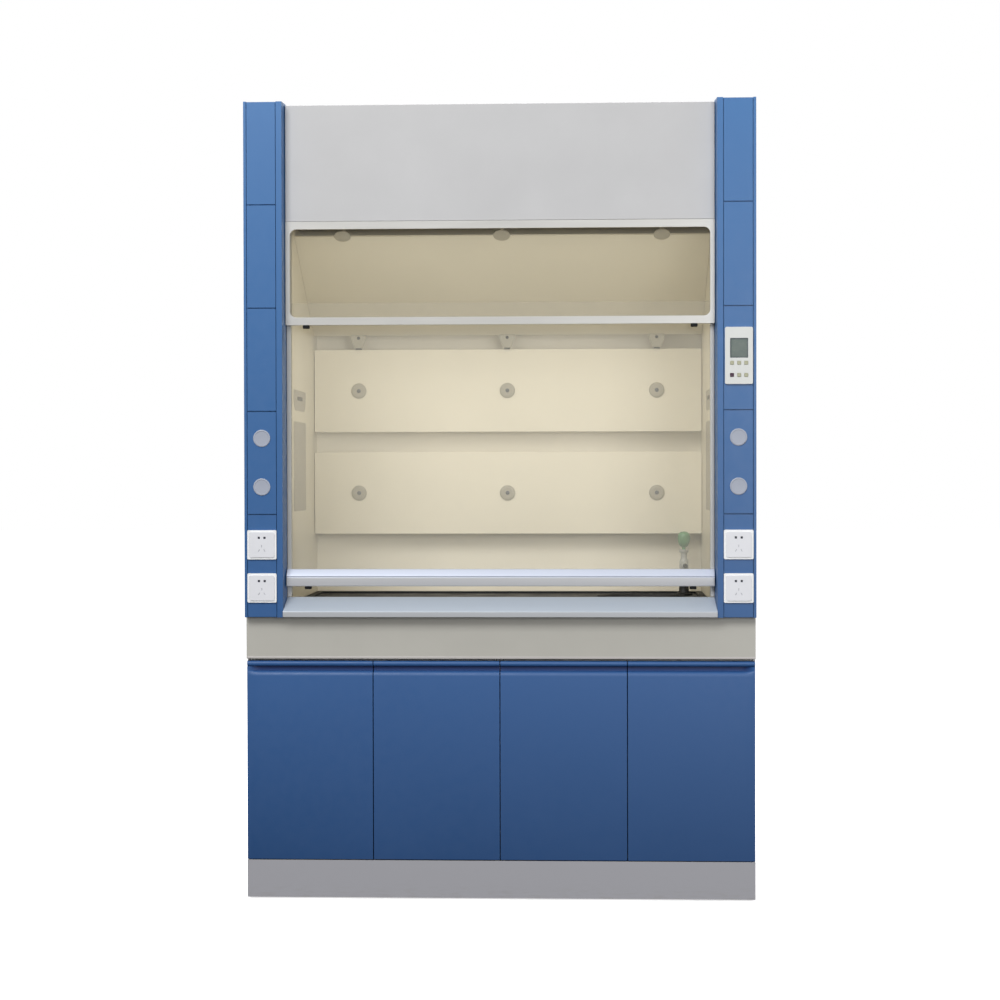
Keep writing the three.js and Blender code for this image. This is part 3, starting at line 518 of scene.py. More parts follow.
def bridge(shape, first, second):
    """Faces between two rings of corners. A ring of one corner is a point."""
    count = max(len(first), len(second))
    for i in range(count):
        j = (i + 1) % count
        around = [ring[k % len(ring)] for ring, k in ((first, i), (first, j), (second, j), (second, i))]
        corners = [c for k, c in enumerate(around) if c not in around[:k]]
        shape.faces.new(corners)


def add_rings(shape, rings, joined_up=False):
    """A skin over rings of (x, y, z) points, with flat ends unless the last ring meets the first."""
    made = [[shape.verts.new(p) for p in ring] for ring in rings]
    for first, second in zip(made, made[1:]):
        bridge(shape, first, second)
    if joined_up:
        bridge(shape, made[-1], made[0])
        return
    for end in (made[0], made[-1]):
        if len(end) > 2:
            shape.faces.new(end)


def on_axis(axis, centre, around, height):
    """A point at (u, v) round an axis through centre, at a height along it."""
    u, v = around
    offset = {"X": (height, u, v), "Y": (u, height, v), "Z": (u, v, height)}[axis]
    return tuple(c + o for c, o in zip(centre, offset))


def add_turned(shape, profile, centre, axis="Z", sides=48):
    """Turns (radius, height) points about an axis. A profile that ends where it starts is a tube's wall."""
    closed = profile[0] == profile[-1]
    rings = []
    for radius, height in profile[:-1] if closed else profile:
        turns = 1 if radius == 0 else sides
        angles = [2 * math.pi * k / turns for k in range(turns)]
        around = [(radius * math.cos(a), radius * math.sin(a)) for a in angles]
        rings.append([on_axis(axis, centre, point, height) for point in around])
    add_rings(shape, rings, closed)


def add_oval(shape, profile, centre, sides=72):
    """Rings of (half width, half depth, height) round centre, joined into a wall."""
    angles = [2 * math.pi * k / sides for k in range(sides)]
    rings = [
        [(centre[0] + rx * math.cos(a), centre[1] + ry * math.sin(a), z) for a in angles]
        for rx, ry, z in profile
    ]
    add_rings(shape, rings, True)


def add_rod(shape, axis, start, length, radius, sides=24):
    """A solid rod along an axis."""
    add_turned(shape, [(0, 0), (radius, 0), (radius, length), (0, length)], start, axis, sides)


def arc(u, v, radius, first, last, steps):
    """Points round (u, v) from one angle to another, in degrees."""
    angles = [math.radians(first + (last - first) * k / steps) for k in range(steps + 1)]
    return [(u + radius * math.cos(a), v + radius * math.sin(a)) for a in angles]


def rounded_rect(u, v, radius, steps=6):
    """A rectangle over the ranges u and v with round corners, anticlockwise."""
    (u0, u1), (v0, v1) = u, v
    corners = [(u1, v0, -90), (u1, v1, 0), (u0, v1, 90), (u0, v0, 180)]
    points = []
    for cu, cv, first in corners:
        inward_u = radius if cu == u0 else -radius
        inward_v = radius if cv == v0 else -radius
        points += arc(cu + inward_u, cv + inward_v, radius, first, first + 90, steps)
    return points


def grown(low, high, by, radius, steps):
    """A box's outline from the front, as a rounded rectangle that is bigger by so much all round."""
    return rounded_rect((low.x - by, high.x + by), (low.z - by, high.z + by), radius, steps)


def square(x, z, half, radius, steps):
    """A rounded square's outline round its middle."""
    return rounded_rect((x - half, x + half), (z - half, z + half), radius, steps)


def rounded_outline(points, radii, steps=4):
    """A polygon with its corners rounded. A corner of radius 0 stays sharp."""
    made = []
    for i, (corner, radius) in enumerate(zip(points, radii)):
        here = Vector(corner)
        before = (Vector(points[i - 1]) - here).normalized()
        after = (Vector(points[(i + 1) % len(points)]) - here).normalized()
        if not radius:
            made.append(tuple(here))
            continue
        half = before.angle(after) / 2
        reach = radius / math.tan(half)
        centre = here + (before + after).normalized() * radius / math.sin(half)
        start, end = here + before * reach - centre, here + after * reach - centre
        turn = start.angle_signed(end)
        for k in range(steps + 1):
            made.append(tuple(centre + Matrix.Rotation(-turn * k / steps, 2) @ start))
    return made


def add_run(shape, outline, x):
    """An outline of (y, z) points run along X."""
    add_rings(shape, [[(place, y, z) for y, z in outline] for place in x])


def add_plate(shape, loops, y):
    """A flat plate facing -Y. The first loop of (x, z) points is its outline and the rest are holes."""
    faces = {y[0]: [], y[1]: []}
    for loop in loops:
        rows = {depth: [shape.verts.new((px, depth, pz)) for px, pz in loop] for depth in y}
        front, back = rows[y[0]], rows[y[1]]
        for i in range(len(loop)):
            j = (i + 1) % len(loop)
            shape.faces.new((front[i], front[j], back[j], back[i]))
        for depth, row in rows.items():
            faces[depth] += [shape.edges.get((row[i - 1], row[i])) for i in range(len(row))]
    for edges in faces.values():
        bmesh.ops.triangle_fill(shape, edges=edges, use_beauty=True, use_dissolve=False)


def add_screw(shape, place, axis, radius, height, facing):
    """A domed screw head. It stands out along the axis, or against it where facing is -1."""
    profile = [(0, 0), (radius, 0), (radius, height * 0.35), (radius * 0.7, height * 0.85), (0, height)]
    add_turned(shape, [(r, h * facing) for r, h in profile], place, axis, 20)


# ---- Doors ----
PIN_REACH = 9
PIN_RADIUS = 2
LIP = 8
CHANNEL = 14
CHANNEL_LEAST = 0.8
CHANNEL_END = 38
END_BLEND = (0, 1.5, 4, 8, 13, 19, 26, 32, CHANNEL_END)
FACE_TOP = 45
BEND = 16
BEND_STEPS = 8
DOOR_GROWTH = 0.5
TOP_GAP = 3.2


def door_outline(front, back, bottom, top, depth):
    """Up the back, over the round lip, down the finger channel, round the bend and down the face."""
    floor = front + depth
    points = [(back, bottom), (back, top)]
    points += arc(front + LIP, top - LIP, LIP, 90, 270, 14)
    points += [(floor, top - 2 * LIP - 1)]
    for k in range(BEND_STEPS + 1):
        a = math.radians(90 + 90 * k / BEND_STEPS)
        points.append((floor + depth * math.cos(a), top - FACE_TOP + BEND * math.sin(a)))
    return points + [(front, bottom)]


def make_door(number):
    """A door and its pins. The outer doors' finger channel closes towards the hood's side."""
    node = f"door_{number}"
    low, high = box_mm(node)
    bottom, top = low.z + PIN_REACH, high.z - PIN_REACH - TOP_GAP
    left, right = low.x - DOOR_GROWTH, high.x + DOOR_GROWTH
    depths = [max(CHANNEL_LEAST, CHANNEL * math.sin(math.pi / 2 * d / CHANNEL_END)) for d in END_BLEND]
    closing = list(zip(END_BLEND, depths))
    stations = [(left, CHANNEL), (right, CHANNEL)]
    if number == 1:
        stations = [(left + d, depth) for d, depth in closing] + [(right, CHANNEL)]
    if number == 4:
        stations = [(left, CHANNEL)] + [(right - d, depth) for d, depth in reversed(closing)]
    rings = []
    for x, depth in stations:
        rings.append([(x, y, z) for y, z in door_outline(low.y, high.y, bottom, top, depth)])
    solid(node + "_panel", add_rings, (rings,), DOOR, node + "_body", 0.9, [node])
    hinge = next(j for j in frame["joints"] if j["name"] == node + "_hinge")
    pivot = Vector(hinge["pos_m"]) / MM
    pins = bmesh.new()
    for start, end in ((low.z, bottom - 0.2), (top + 0.2, high.z)):
        add_rod(pins, "Z", (pivot.x, pivot.y, start), end - start, PIN_RADIUS)
    piece_of(node + "_pins", pins, IRON, node + "_body")


def make_hem():
    """The folded hem along the apron's lower edge, in a lighter grey than the apron: a painted highlight on
    the hem.
    """
    low, high = box_mm("apron_panel")
    proud, tall, steps = 0.8, 7, 8
    bottom = low.z + 0.3
    outline = []
    for k in range(steps + 1):
        a = math.pi * k / steps
        outline.append((low.y - proud * math.sin(a), bottom + tall * (1 - math.cos(a)) / 2))
    solid("apron_hem", add_run, (outline, (low.x + 1, high.x - 1)), HEM_PAINTED_HIGHLIGHT)


# Painted shade: black strips that darken the gaps above and below the doors.
GAP_SHADE_SPANS = ((-734, -14), (-3.5, 3.5), (14, 734))
GAP_SHADE_THICK = 1.6
GAP_SHADE_REAR = (-366.8, -365.2)
GAP_SHADE_REAR_HEIGHT = 5.4


def make_gap_shade_strips():
    """Black strips above and below the doors, with gaps where the pivot pins are. They are painted shade:
    dark pieces behind the gaps round the doors, darkening them as shade would.
    """
    apron_bottom = box_mm("apron_panel")[0].z
    kick_low, kick_high = box_mm("kick_plate")
    y = (kick_low.y + 0.6, kick_low.y + 8)
    for name, z in (("upper", apron_bottom - 0.1 - GAP_SHADE_THICK), ("lower", kick_high.z + 0.1)):
        shape = bmesh.new()
        for x in GAP_SHADE_SPANS:
            add_box(shape, x, y, (z, z + GAP_SHADE_THICK))
            if name == "lower":
                add_box(shape, x, GAP_SHADE_REAR, (z, z + GAP_SHADE_REAR_HEIGHT))
        piece_of(f"gap_shade_strip_{name}", shape, RUBBER, rounding=0.4)


# ---- Posts ----
PLUG_PROUD = 3
PLUG_HEIGHTS = (1219, 1362)
PLUG_HOLE = 19
PLUG_PROFILE = ((0, 1.6), (6, 1.4), (20, 1.1), (21, 0.2), (23, 0), (25, 0.9), (25, 2.9), (0, 2.9))
COVERS = 5
COVER_THICK = 7
SEAM = 3.2
GROOVES = ((651, 659), (738, 741.7))
SIDES = (("left", -1), ("right", 1))


def make_covers(side, sign):
    """A post's five cover panels, with round holes behind the plugs, and the plugs."""
    node = f"service_panel_{side}"
    low, high = box_mm(node)
    front = low.y + PLUG_PROUD
    bottom = low.z - 1
    pitch = (high.z + 0.5 - bottom) / COVERS
    middle = (low.x + high.x) / 2
    for i in range(COVERS):
        z = (bottom + i * pitch + SEAM / 2, bottom + (i + 1) * pitch - SEAM / 2)
        x = (low.x + 0.9, high.x - 0.9)
        loops = [rounded_rect(x, z, 1.2, 3)]
        for height in PLUG_HEIGHTS:
            if z[0] < height < z[1]:
                loops.append(arc(middle, height, PLUG_HOLE, 0, 345, 23))
        y = (front, front + COVER_THICK)
        stands_for = [node] if i == 0 else []
        solid(f"cover_{side}_{i + 1}", add_plate, (loops, y), BLUE, rounding=1.6, replaces=stands_for)
    shape = bmesh.new()
    behind = (front + COVER_THICK + 0.2, front + COVER_THICK + 1.1)
    for edge in GROOVES:
        add_box(shape, span(sign, *edge), behind, (low.z + 4, high.z - 1))
    piece_of(f"groove_backing_{side}", shape, BLUE)
    for k, height in enumerate(PLUG_HEIGHTS):
        solid(f"plug_{side}_{k + 1}", add_turned, (PLUG_PROFILE, (middle, low.y, height), "Y", 64), PLUG)


def slanted_slot(x, z, length, width, angle):
    """A blade slot's outline, turned about its middle."""
    turn = Matrix.Rotation(math.radians(angle), 2)
    outline = rounded_rect((-width / 2, width / 2), (-length / 2, length / 2), width * 0.3, 2)
    return [tuple(Vector((x, z)) + turn @ Vector(p)) for p in outline]


PLATE_HALF = 43
RAISED_HALF = 37
WELL_HALF = 30
PIN_HALF = 3.3
PIN_OFFSET = 8.5
PIN_LEVEL = 20.5
BLADES = ((0, -4, 7.5, 0), (-8, -17, 8, -30), (8, -17, 8, 30))
BLADE_WIDTH = 2.2


def make_socket(side, level):
    """A five-hole wall socket: a stepped plate, two pin holes above and three shuttered blade slots below."""
    node = f"socket_{side}_{level}"
    low, high = box_mm(node)
    x, _, z = centre(low, high)
    front = low.y
    plate = [square(x, z, PLATE_HALF, 4, 6), square(x, z, WELL_HALF, 2, 2)]
    solid(node + "_plate", add_plate, (plate, (front + 3, front + 7.6)), SOCKET, CABINET, 1.4, [node])
    loops = [square(x, z, RAISED_HALF, 5, 6)]
    loops += [square(x + dx, z + PIN_LEVEL, PIN_HALF, 0.8, 2) for dx in (-PIN_OFFSET, PIN_OFFSET)]
    loops += [slanted_slot(x + dx, z + dz, length, BLADE_WIDTH, angle) for dx, dz, length, angle in BLADES]
    # the raised face takes the greyer copy of the socket white: painted shade
    solid(node + "_face", add_plate, (loops, (front, front + 3.4)), SOCKET_FACE_SHADED, rounding=0.7)
    wide = (x - 16, x + 16)
    solid(node + "_contacts", add_box, (wide, (front + 3.5, front + 6), (z + 13, z + 28)), SLOT_DARK)
    solid(node + "_shutters", add_box, (wide, (front + 1.6, front + 3.3), (z - 24, z + 2)), SHUTTER)
    solid(
        node + "_back_box", add_box, ((low.x + 14, high.x - 14), (front + 8, high.y), (z - 29, z + 29)),
        SOCKET, rounding=2,
    )


# ---- Airflow controller ----
CASE_THICK = 5.9
SCREEN_RIM = 3.5
KEY_GAP = 0.4


def make_controller():
    """The controller's case with openings for the screen and the keys, its back box, and the screen."""
    low, high = box_mm("controller_housing")
    screen_low, screen_high = box_mm("controller_screen")
    loops = [grown(low, high, 0, 5, 6), grown(screen_low, screen_high, 0, 1.5, 3)]
    loops += [grown(*box_mm(f"key_{i}"), KEY_GAP, 2.4, 4) for i in range(1, 7)]
    node = "controller_housing"
    solid(
        "controller_case", add_plate, (loops, (low.y, low.y + CASE_THICK)),
        HOUSING, rounding=1.2, replaces=[node],
    )
    sizes = (low.x + 14, high.x - 14), (low.y + 12, high.y), (low.z + 17, high.z - 29)
    solid("controller_back_box", add_box, sizes, HOUSING, rounding=2)
    inner = grown(screen_low, screen_high, -SCREEN_RIM, 1, 3)
    outer = grown(screen_low, screen_high, -0.2, 1.3, 3)
    node = "controller_screen"
    solid(
        "controller_screen_rim", add_plate, ([outer, inner], (screen_low.y, screen_high.y)),
        BEZEL, rounding=0.4, replaces=[node],
    )
    solid("controller_lcd", add_plate, ([inner], (screen_low.y + 0.5, screen_high.y)), LCD)


def make_key(number):
    """A key with a softly dished top."""
    node = f"key_{number}"
    low, high = box_mm(node)
    x, _, z = centre(low, high)
    half = (high.x - low.x) / 2
    dish = [(0.6, 0.2), (1.4, 0), (3, 0.35)]
    depths = [(half, high.y), (half, low.y + 1.0)] + [(half - inset, low.y + sink) for inset, sink in dish]
    rings = [[(u, y, v) for u, v in square(x, z, r, min(2, r * 0.4), 4)] for r, y in depths]
    finish = PURPLE if number == 4 else OLIVE
    solid(node + "_cap", add_rings, (rings,), finish, node + "_body", replaces=[node])


# ---- Header, window and sill ----
BUMPER_HALF = 10
BUMPER_DROP = 10
WINDOW_SEAT = 7.5


def make_bumpers(name, reach, y, z, body):
    """Two black bumpers, each as far from the middle as reach says."""
    for side, sign in SIDES:
        x = sign * reach
        solid(f"{name}_{side}", add_box, ((x - BUMPER_HALF, x + BUMPER_HALF), y, z), RUBBER, body, 2.5)


def make_window():
    """The frame that the window's pane sits in, in two layers, and the bumpers under it."""
    low, high = box_mm("window_frame")
    glass_low, glass_high = box_mm("window_glass")
    bottom = low.z + BUMPER_DROP
    outer = rounded_rect((low.x, high.x), (bottom, high.z), 2, 3)
    opening = grown(glass_low, glass_high, -WINDOW_SEAT, 19, 10)
    solid(
        "window_surround", add_plate, ([outer, opening], (low.y, low.y + 11.8)),
        FRAME_WHITE, rounding=2.2, replaces=["window_frame"],
    )
    rear = grown(glass_low, glass_high, 0.5, 23, 8)
    solid("window_rebate", add_plate, ([outer, rear], (low.y + 11.9, high.y)), FRAME_WHITE, rounding=0.8)
    make_bumpers("window_bumper", 572, (low.y + 3, high.y - 3), (low.z, bottom - 0.1), CABINET)


SILL_SHEET = 3
SILL_LIP_TOP = 853
SILL_TAPER = 5.2 / 65
POST_FRONT = -417
WORKTOP_TOP = 870
GUSSETS = (-600, -200, 200, 600)


def make_airfoil():
    """A bent sheet: an upright lip, a slope up to the rear and a rolled-down rear edge, on four gussets."""
    low, high = box_mm("airfoil")
    inner = low.y + SILL_SHEET
    rear = high.y - 1
    corners = [
        (low.y, low.z), (low.y, SILL_LIP_TOP), (rear - 3, high.z), (rear, high.z), (high.y, high.z - 6),
        (rear - 1, high.z - 8), (rear - 4, high.z - 5.5), (inner, SILL_LIP_TOP - 2), (inner, low.z),
    ]
    outline = rounded_outline(corners, [0, 4, 3, 1, 0, 0, 1, 2, 0])

    def half_width(y):
        """It narrows between the posts."""
        return high.x - max(0, y - POST_FRONT) * SILL_TAPER

    ends = [[(side * half_width(y), y, z) for y, z in outline] for side in (-1, 1)]
    solid("airfoil_sheet", add_rings, (ends,), SILL_GREY, rounding=0.6, replaces=["airfoil"])
    shape = bmesh.new()
    foot, front = WORKTOP_TOP + 0.3, -370
    web = [(front, foot), (rear - 3, foot), (rear - 3, high.z - 6), (front, 877)]
    for x in GUSSETS:
        add_run(shape, web, (x - 2, x + 2))
    piece_of("airfoil_gussets", shape, SILL_GREY, rounding=0.4)


# ---- Sash ----
GRIP_BACK = -357.6
GRIP_HEIGHT = 50
GROOVE_HEIGHT = 27
GLASS_CHANNEL_HALF = 618.5


def make_sash_handle():
    """A folded grip with a sloping upper face, and the channel that holds the glass."""
    low, high = box_mm("sash_handle")
    bottom = low.z + 9
    front, back, top = low.y, GRIP_BACK, bottom + GRIP_HEIGHT
    groove = bottom + GROOVE_HEIGHT
    corners = [
        (front, bottom), (front, groove - 3), (front + 2.5, groove), (front, groove + 3), (front + 13, top),
        (back, top), (back, bottom),
    ]
    outline = rounded_outline(corners, [2.5, 1.2, 0.8, 1.5, 2.5, 1.5, 1.5])
    solid("sash_grip", add_run, (outline, (low.x, high.x)), HANDLE_WHITE, "sash", 0.8, ["sash_handle"])
    glass_low, glass_high = box_mm("sash_glass")
    channel_front, before, behind = back + 0.2, glass_low.y - 0.3, glass_high.y + 0.3
    channel = [
        (channel_front, bottom), (high.y, bottom), (high.y, bottom + 30), (behind, bottom + 30),
        (behind, bottom + 7), (before, bottom + 7), (before, bottom + 36), (channel_front, bottom + 36),
    ]
    solid(
        "sash_glass_channel", add_run, (channel, (-GLASS_CHANNEL_HALF, GLASS_CHANNEL_HALF)),
        HANDLE_WHITE, "sash", 0.6,
    )
    make_bumpers("sash_bumper", 568, (front + 6, front + 22), (low.z, bottom - 0.1), "sash")


# ---- Baffles ----
FIXINGS = (-485, 0, 485)
WASHER_PROFILE = ((0, 0.6), (9, 0.6), (13, 0.4), (23, 0.2), (25, 1.4), (25, 3.9), (0, 3.9))
SLOPE_WASHER = ((0, 0.4), (23, 0.4), (25, 1.6), (25, 4), (0, 4))
STANDOFF_RADIUS = 9
STANDOFF_START = 9.2
BOARD_THICK = 5
SLOPE_LOW_EDGE = Vector((0, 255, 1708))
SLOPE_HIGH_EDGE = Vector((0, -185, 1979))


def make_fixing(name, x, y, z, wall):
    """A round washer with a dished rim, its screw, and the stand-off behind the board."""
    solid(name + "_washer", add_turned, (WASHER_PROFILE, (x, y, z), "Y"), WASHER)
    solid(name + "_screw", add_screw, ((x, y + 0.6, z), "Y", 6.5, 1.6, -1), IRON)
    start = y + STANDOFF_START
    solid(name + "_standoff", add_rod, ("Y", (x, start, z), wall - start, STANDOFF_RADIUS, 32), DUCT)


def make_upright_baffle(node):
    """An upright board on three fixings."""
    low, high = box_mm(node)
    wall = high.y
    front = low.y + 4
    solid(
        node + "_board", add_plate, ([grown(low, high, 0, 3, 3)], (front, front + BOARD_THICK)),
        BOARD, rounding=0.8, replaces=[node],
    )
    for k, x in enumerate(FIXINGS):
        make_fixing(f"{node}_{k + 1}", x, low.y, (low.z + high.z) / 2, wall)


def make_slope_fixings():
    """Washers under the sloping baffle's upper edge, and the tapered tongues at its lower edge."""
    along = (SLOPE_HIGH_EDGE - SLOPE_LOW_EDGE).normalized()
    outward = Vector((0, -along.z, along.y))
    turn = outward.to_track_quat("-Z", "Y").to_matrix().to_4x4()
    for k, x in enumerate(FIXINGS):
        shape = bmesh.new()
        add_turned(shape, SLOPE_WASHER, (0, 0, 0))
        middle = SLOPE_HIGH_EDGE + along * 4 + outward * 4.2 + Vector((x, 0, 0))
        bmesh.ops.transform(shape, matrix=Matrix.Translation(middle) @ turn, verts=shape.verts)
        piece_of(f"slope_washer_{k + 1}", shape, WASHER)
        tongue = rounded_outline(
            [(x - 25, 1709), (x + 25, 1709), (x + 25, 1698), (x + 13, 1667), (x - 13, 1667), (x - 25, 1698)],
            [2, 2, 8, 3, 3, 8],
        )
        solid(f"slope_tongue_{k + 1}", add_plate, ([tongue], (248.5, 252)), WASHER, rounding=0.8)
        shape = bmesh.new()
        add_screw(shape, (x, 248.4, 1700), "Y", 5, 2, -1)
        add_box(shape, (x - 10, x + 10), (247, 254.5), (1662.6, 1666.8))
        piece_of(f"slope_clip_{k + 1}", shape, RUBBER)


ACCESS_DEPTH = (-215, 50)
ACCESS_HEIGHT = (1143, 1418)
LATCH_PLATE_HEIGHT = (1452, 1515)
LATCH_DEPTH = (-135, -30)
LATCH_HEIGHT = (1484, 1496)


def make_access_plates():
    """A grey access plate on each side wall, with a rounded latch plate above it."""
    front, rear = ACCESS_DEPTH
    bottom, top = LATCH_PLATE_HEIGHT
    latch_plate = [(front, top), (rear, top), (rear, bottom), (front, bottom)]
    for side, sign in SIDES:
        x = span(sign, 631.5, 632.4)
        shape = bmesh.new()
        add_run(shape, rounded_rect(ACCESS_DEPTH, ACCESS_HEIGHT, 10, 5), x)
        add_run(shape, rounded_outline(latch_plate, [4, 4, 45, 45], 8), x)
        piece_of(f"access_plate_{side}", shape, ACCESS, rounding=0.25)
        latch = rounded_rect(LATCH_DEPTH, LATCH_HEIGHT, 5.5, 5)
        solid(f"access_latch_{side}", add_run, (latch, span(sign, 630.6, 631.4)), BLACK, rounding=0.25)


# ---- Sink and tap ----
def make_sink():
    """An oval cup sink with a rolled rim, and the bars across its outlet."""
    low, high = box_mm("cup_sink")
    x, y, _ = centre(low, high)
    rx, ry = high.x - x, high.y - y
    top, floor = high.z, low.z + 49
    wall = [
        (24, 24, low.z), (24, 24, floor - 5), (rx - 34, ry - 30, floor - 3), (rx - 14, ry - 14, floor + 5),
        (rx - 10, ry - 10, floor + 18), (rx - 10, ry - 10, top - 3.7), (rx, ry, top - 3.7),
        (rx, ry, top - 1.4), (rx - 0.6, ry - 0.6, top - 0.4), (rx - 2, ry - 2, top), (rx - 11, ry - 11, top),
        (rx - 13, ry - 13, top - 0.6), (rx - 14, ry - 14, top - 2.4), (rx - 14, ry - 14, floor + 18),
        (rx - 17, ry - 17, floor + 7), (rx - 36, ry - 32, floor + 1), (19, 19, floor), (19, 19, low.z),
    ]
    solid("sink_bowl", add_oval, (wall, (x, y)), SINK_BLACK, replaces=["cup_sink"])
    shape = bmesh.new()
    for angle in (0, 60, 120):
        bar = bmesh.ops.create_cube(shape, size=1, matrix=Matrix.Diagonal((37, 3, 3, 1)))["verts"]
        turn = Matrix.Translation((x, y, floor - 4)) @ Matrix.Rotation(math.radians(angle), 4, "Z")
        bmesh.ops.transform(shape, matrix=turn, verts=bar)
    piece_of("sink_strainer", shape, SINK_BLACK)


SPOUT_HEIGHT = 962
NOZZLE_START = -78.2
NOZZLE_PITCH = 6


def make_nozzle(x, y, z):
    """A bored hose nozzle with four barbs, that points towards the user."""
    profile = [(0, NOZZLE_START)]
    for ring in range(4):
        start = NOZZLE_START - ring * NOZZLE_PITCH
        profile += [(7, start), (5.8, start - 5.6)]
    profile += [(7.2, -102.2), (7, -103.5), (6, -103.5), (5.6, -84), (0, -84)]
    solid("tap_nozzle", add_turned, (profile, (x, y, z), "Y", 24), SINK_BLACK)


def make_tap():
    """An enamelled bench tap with a hose nozzle towards the user, and its green control knob."""
    base = box_mm("tap_body")[0].z
    knob_low, knob_high = box_mm("tap_knob")
    x, y, _ = centre(knob_low, knob_high)
    spout = SPOUT_HEIGHT
    foot_top = base + 31
    foot = [
        (0, base), (26.2, base), (27, base + 0.8), (27, base + 4), (25.5, base + 5.2), (19, base + 8),
        (16, base + 14), (15, foot_top - 1), (14, foot_top), (0, foot_top),
    ]
    solid("tap_foot", add_turned, (foot, (x, y, 0)), SINK_BLACK)
    column = [
        (0, foot_top + 0.2), (10.5, foot_top + 0.2), (10.5, spout - 20), (11.5, spout - 16), (14, spout - 13),
        (14.5, spout - 11), (14.5, spout + 12), (14, spout + 14), (11.5, spout + 17), (10.5, spout + 21),
        (10.5, 997), (11.6, 1001), (14.4, 1002), (15, 1003), (15, 1010), (14.2, 1011), (0, 1011),
    ]
    shape = bmesh.new()
    add_turned(shape, column, (x, y, 0))
    arm = [(0, -10), (8, -10), (8, -66), (9.2, -67), (9.2, -72), (8, -73.5), (7, -76), (7, -78), (0, -78)]
    add_turned(shape, arm, (x, y, spout), "Y", 32)
    piece_of("tap_column", shape, TAP, replaces=["tap_body"])
    make_nozzle(x, y, spout)
    make_knob(x, y, knob_low.z, knob_high.z)


KNOB_RADIUS = 20.5
KNOB_WIDEST = 0.6
KNOB_GRIPS = 12
GRIP_DEPTH = 0.035


def make_knob(x, y, low, high):
    """Egg-shaped, narrower at its neck, with shallow grips round it."""
    sides, steps = 72, 18
    skirt = low + 7
    rings = []
    for step in range(steps + 1):
        t = step / steps
        z = skirt + (high - skirt) * t
        under, crown = max(0, (KNOB_WIDEST - t) / 0.64), max(0, (t - KNOB_WIDEST) / (1 - KNOB_WIDEST))
        radius = KNOB_RADIUS * math.sqrt(max(0.0002, 1 - under ** 2.2 - crown ** 2.6))
        if step == steps:
            z -= 0.2
        ring = []
        for k in range(sides):
            a = 2 * math.pi * k / sides
            r = radius * (1 - GRIP_DEPTH * (1 - crown) * (0.5 + 0.5 * math.cos(KNOB_GRIPS * a)) ** 3)
            ring.append((x + r * math.cos(a), y + r * math.sin(a), z))
        rings.append(ring)
    shape = bmesh.new()
    add_rings(shape, rings)
    add_rod(shape, "Z", (x, y, low), 6.9, 6)
    piece_of("tap_knob_grip", shape, GREEN, "tap_handle", replaces=["tap_knob"])


# ---- Top of the hood ----
COLLAR_RADIUS = 121
COLLAR_BOLTS = 8
BOLT_CIRCLE = 138


def make_collar():
    """A flanged spigot with a rolled upper edge, and the bolts through its flange."""
    low, high = box_mm("exhaust_collar")
    x, y, _ = centre(low, high)
    inner = COLLAR_RADIUS
    flange = high.x - x
    b, t = low.z, high.z
    wall = [
        (inner, b), (flange - 1, b), (flange, b + 1), (flange, b + 3), (flange - 1, b + 4),
        (inner + 9, b + 4), (inner + 6, b + 5), (inner + 4, b + 9), (inner + 4, t - 10), (inner + 5, t - 7),
        (inner + 8, t - 5), (inner + 19.2, t - 5), (inner + 20, t - 4.2), (inner + 20, t - 0.8),
        (inner + 19.2, t), (inner, t), (inner, b),
    ]
    solid("exhaust_spigot", add_turned, (wall, (x, y, 0), "Z", 96), DUCT, replaces=["exhaust_collar"])
    shape = bmesh.new()
    for k in range(COLLAR_BOLTS):
        a = math.radians(360 / COLLAR_BOLTS * (k + 0.5))
        place = (x + BOLT_CIRCLE * math.cos(a), y + BOLT_CIRCLE * math.sin(a), b + 4)
        add_turned(shape, [(0, 0), (8, 0), (8, 1.6), (0, 1.6)], place, "Z", 24)
        add_turned(shape, [(0, 1.7), (5.8, 1.7), (5.8, 5.4), (5, 6), (0, 6)], place, "Z", 6)
    piece_of("collar_bolts", shape, BRIGHT, rounding=0.3)


def make_lamp():
    """The frosted diffuser in the ceiling's opening, and two tubes above it."""
    ceiling = box_mm("liner_ceiling")[0].z
    low, high = box_mm("lamp_housing")
    x, y = (low.x + 12.5, high.x - 12.5), (low.y + 8.5, high.y - 8.5)
    solid("lamp_diffuser", add_box, (x, y, (ceiling + 1, ceiling + 4)), DIFFUSER, rounding=1)
    shape = bmesh.new()
    for share in (0.3, 0.7):
        middle = y[0] + (y[1] - y[0]) * share
        add_rod(shape, "X", (x[0] + 12, middle, low.z + 26), x[1] - x[0] - 24, 8, 24)
    piece_of("lamp_tubes", shape, SOCKET)


PULLEY_HALF = 9
TOOTH_TIP = 40
TOOTH_ROOT = 38.2
TEETH = 36
FLANGE = ((0, 0), (41.5, 0), (42.3, 0.75), (41.5, 1.5), (0, 1.5))
HUB = ((0, 0), (16, 0), (16, 2.9), (0, 2.9))


def make_pulley(name, x, y, z, body, nodes=()):
    """A toothed wheel between two flanges."""
    outline = []
    for k in range(TEETH):
        for share, r in ((0.0, TOOTH_ROOT), (0.12, TOOTH_TIP), (0.5, TOOTH_TIP), (0.62, TOOTH_ROOT)):
            a = 2 * math.pi * (k + share) / TEETH
            outline.append((y + r * math.cos(a), z + r * math.sin(a)))
    shape = bmesh.new()
    add_run(shape, outline, (x - PULLEY_HALF + 1.6, x + PULLEY_HALF - 1.6))
    for place in (x - PULLEY_HALF, x + PULLEY_HALF - 1.5):
        add_turned(shape, FLANGE, (place, y, z), "X", 64)
    for place in (x - PULLEY_HALF - 3, x + PULLEY_HALF + 0.1):
        add_turned(shape, HUB, (place, y, z), "X", 32)
    piece_of(name, shape, STEEL, body, 0.4, nodes)


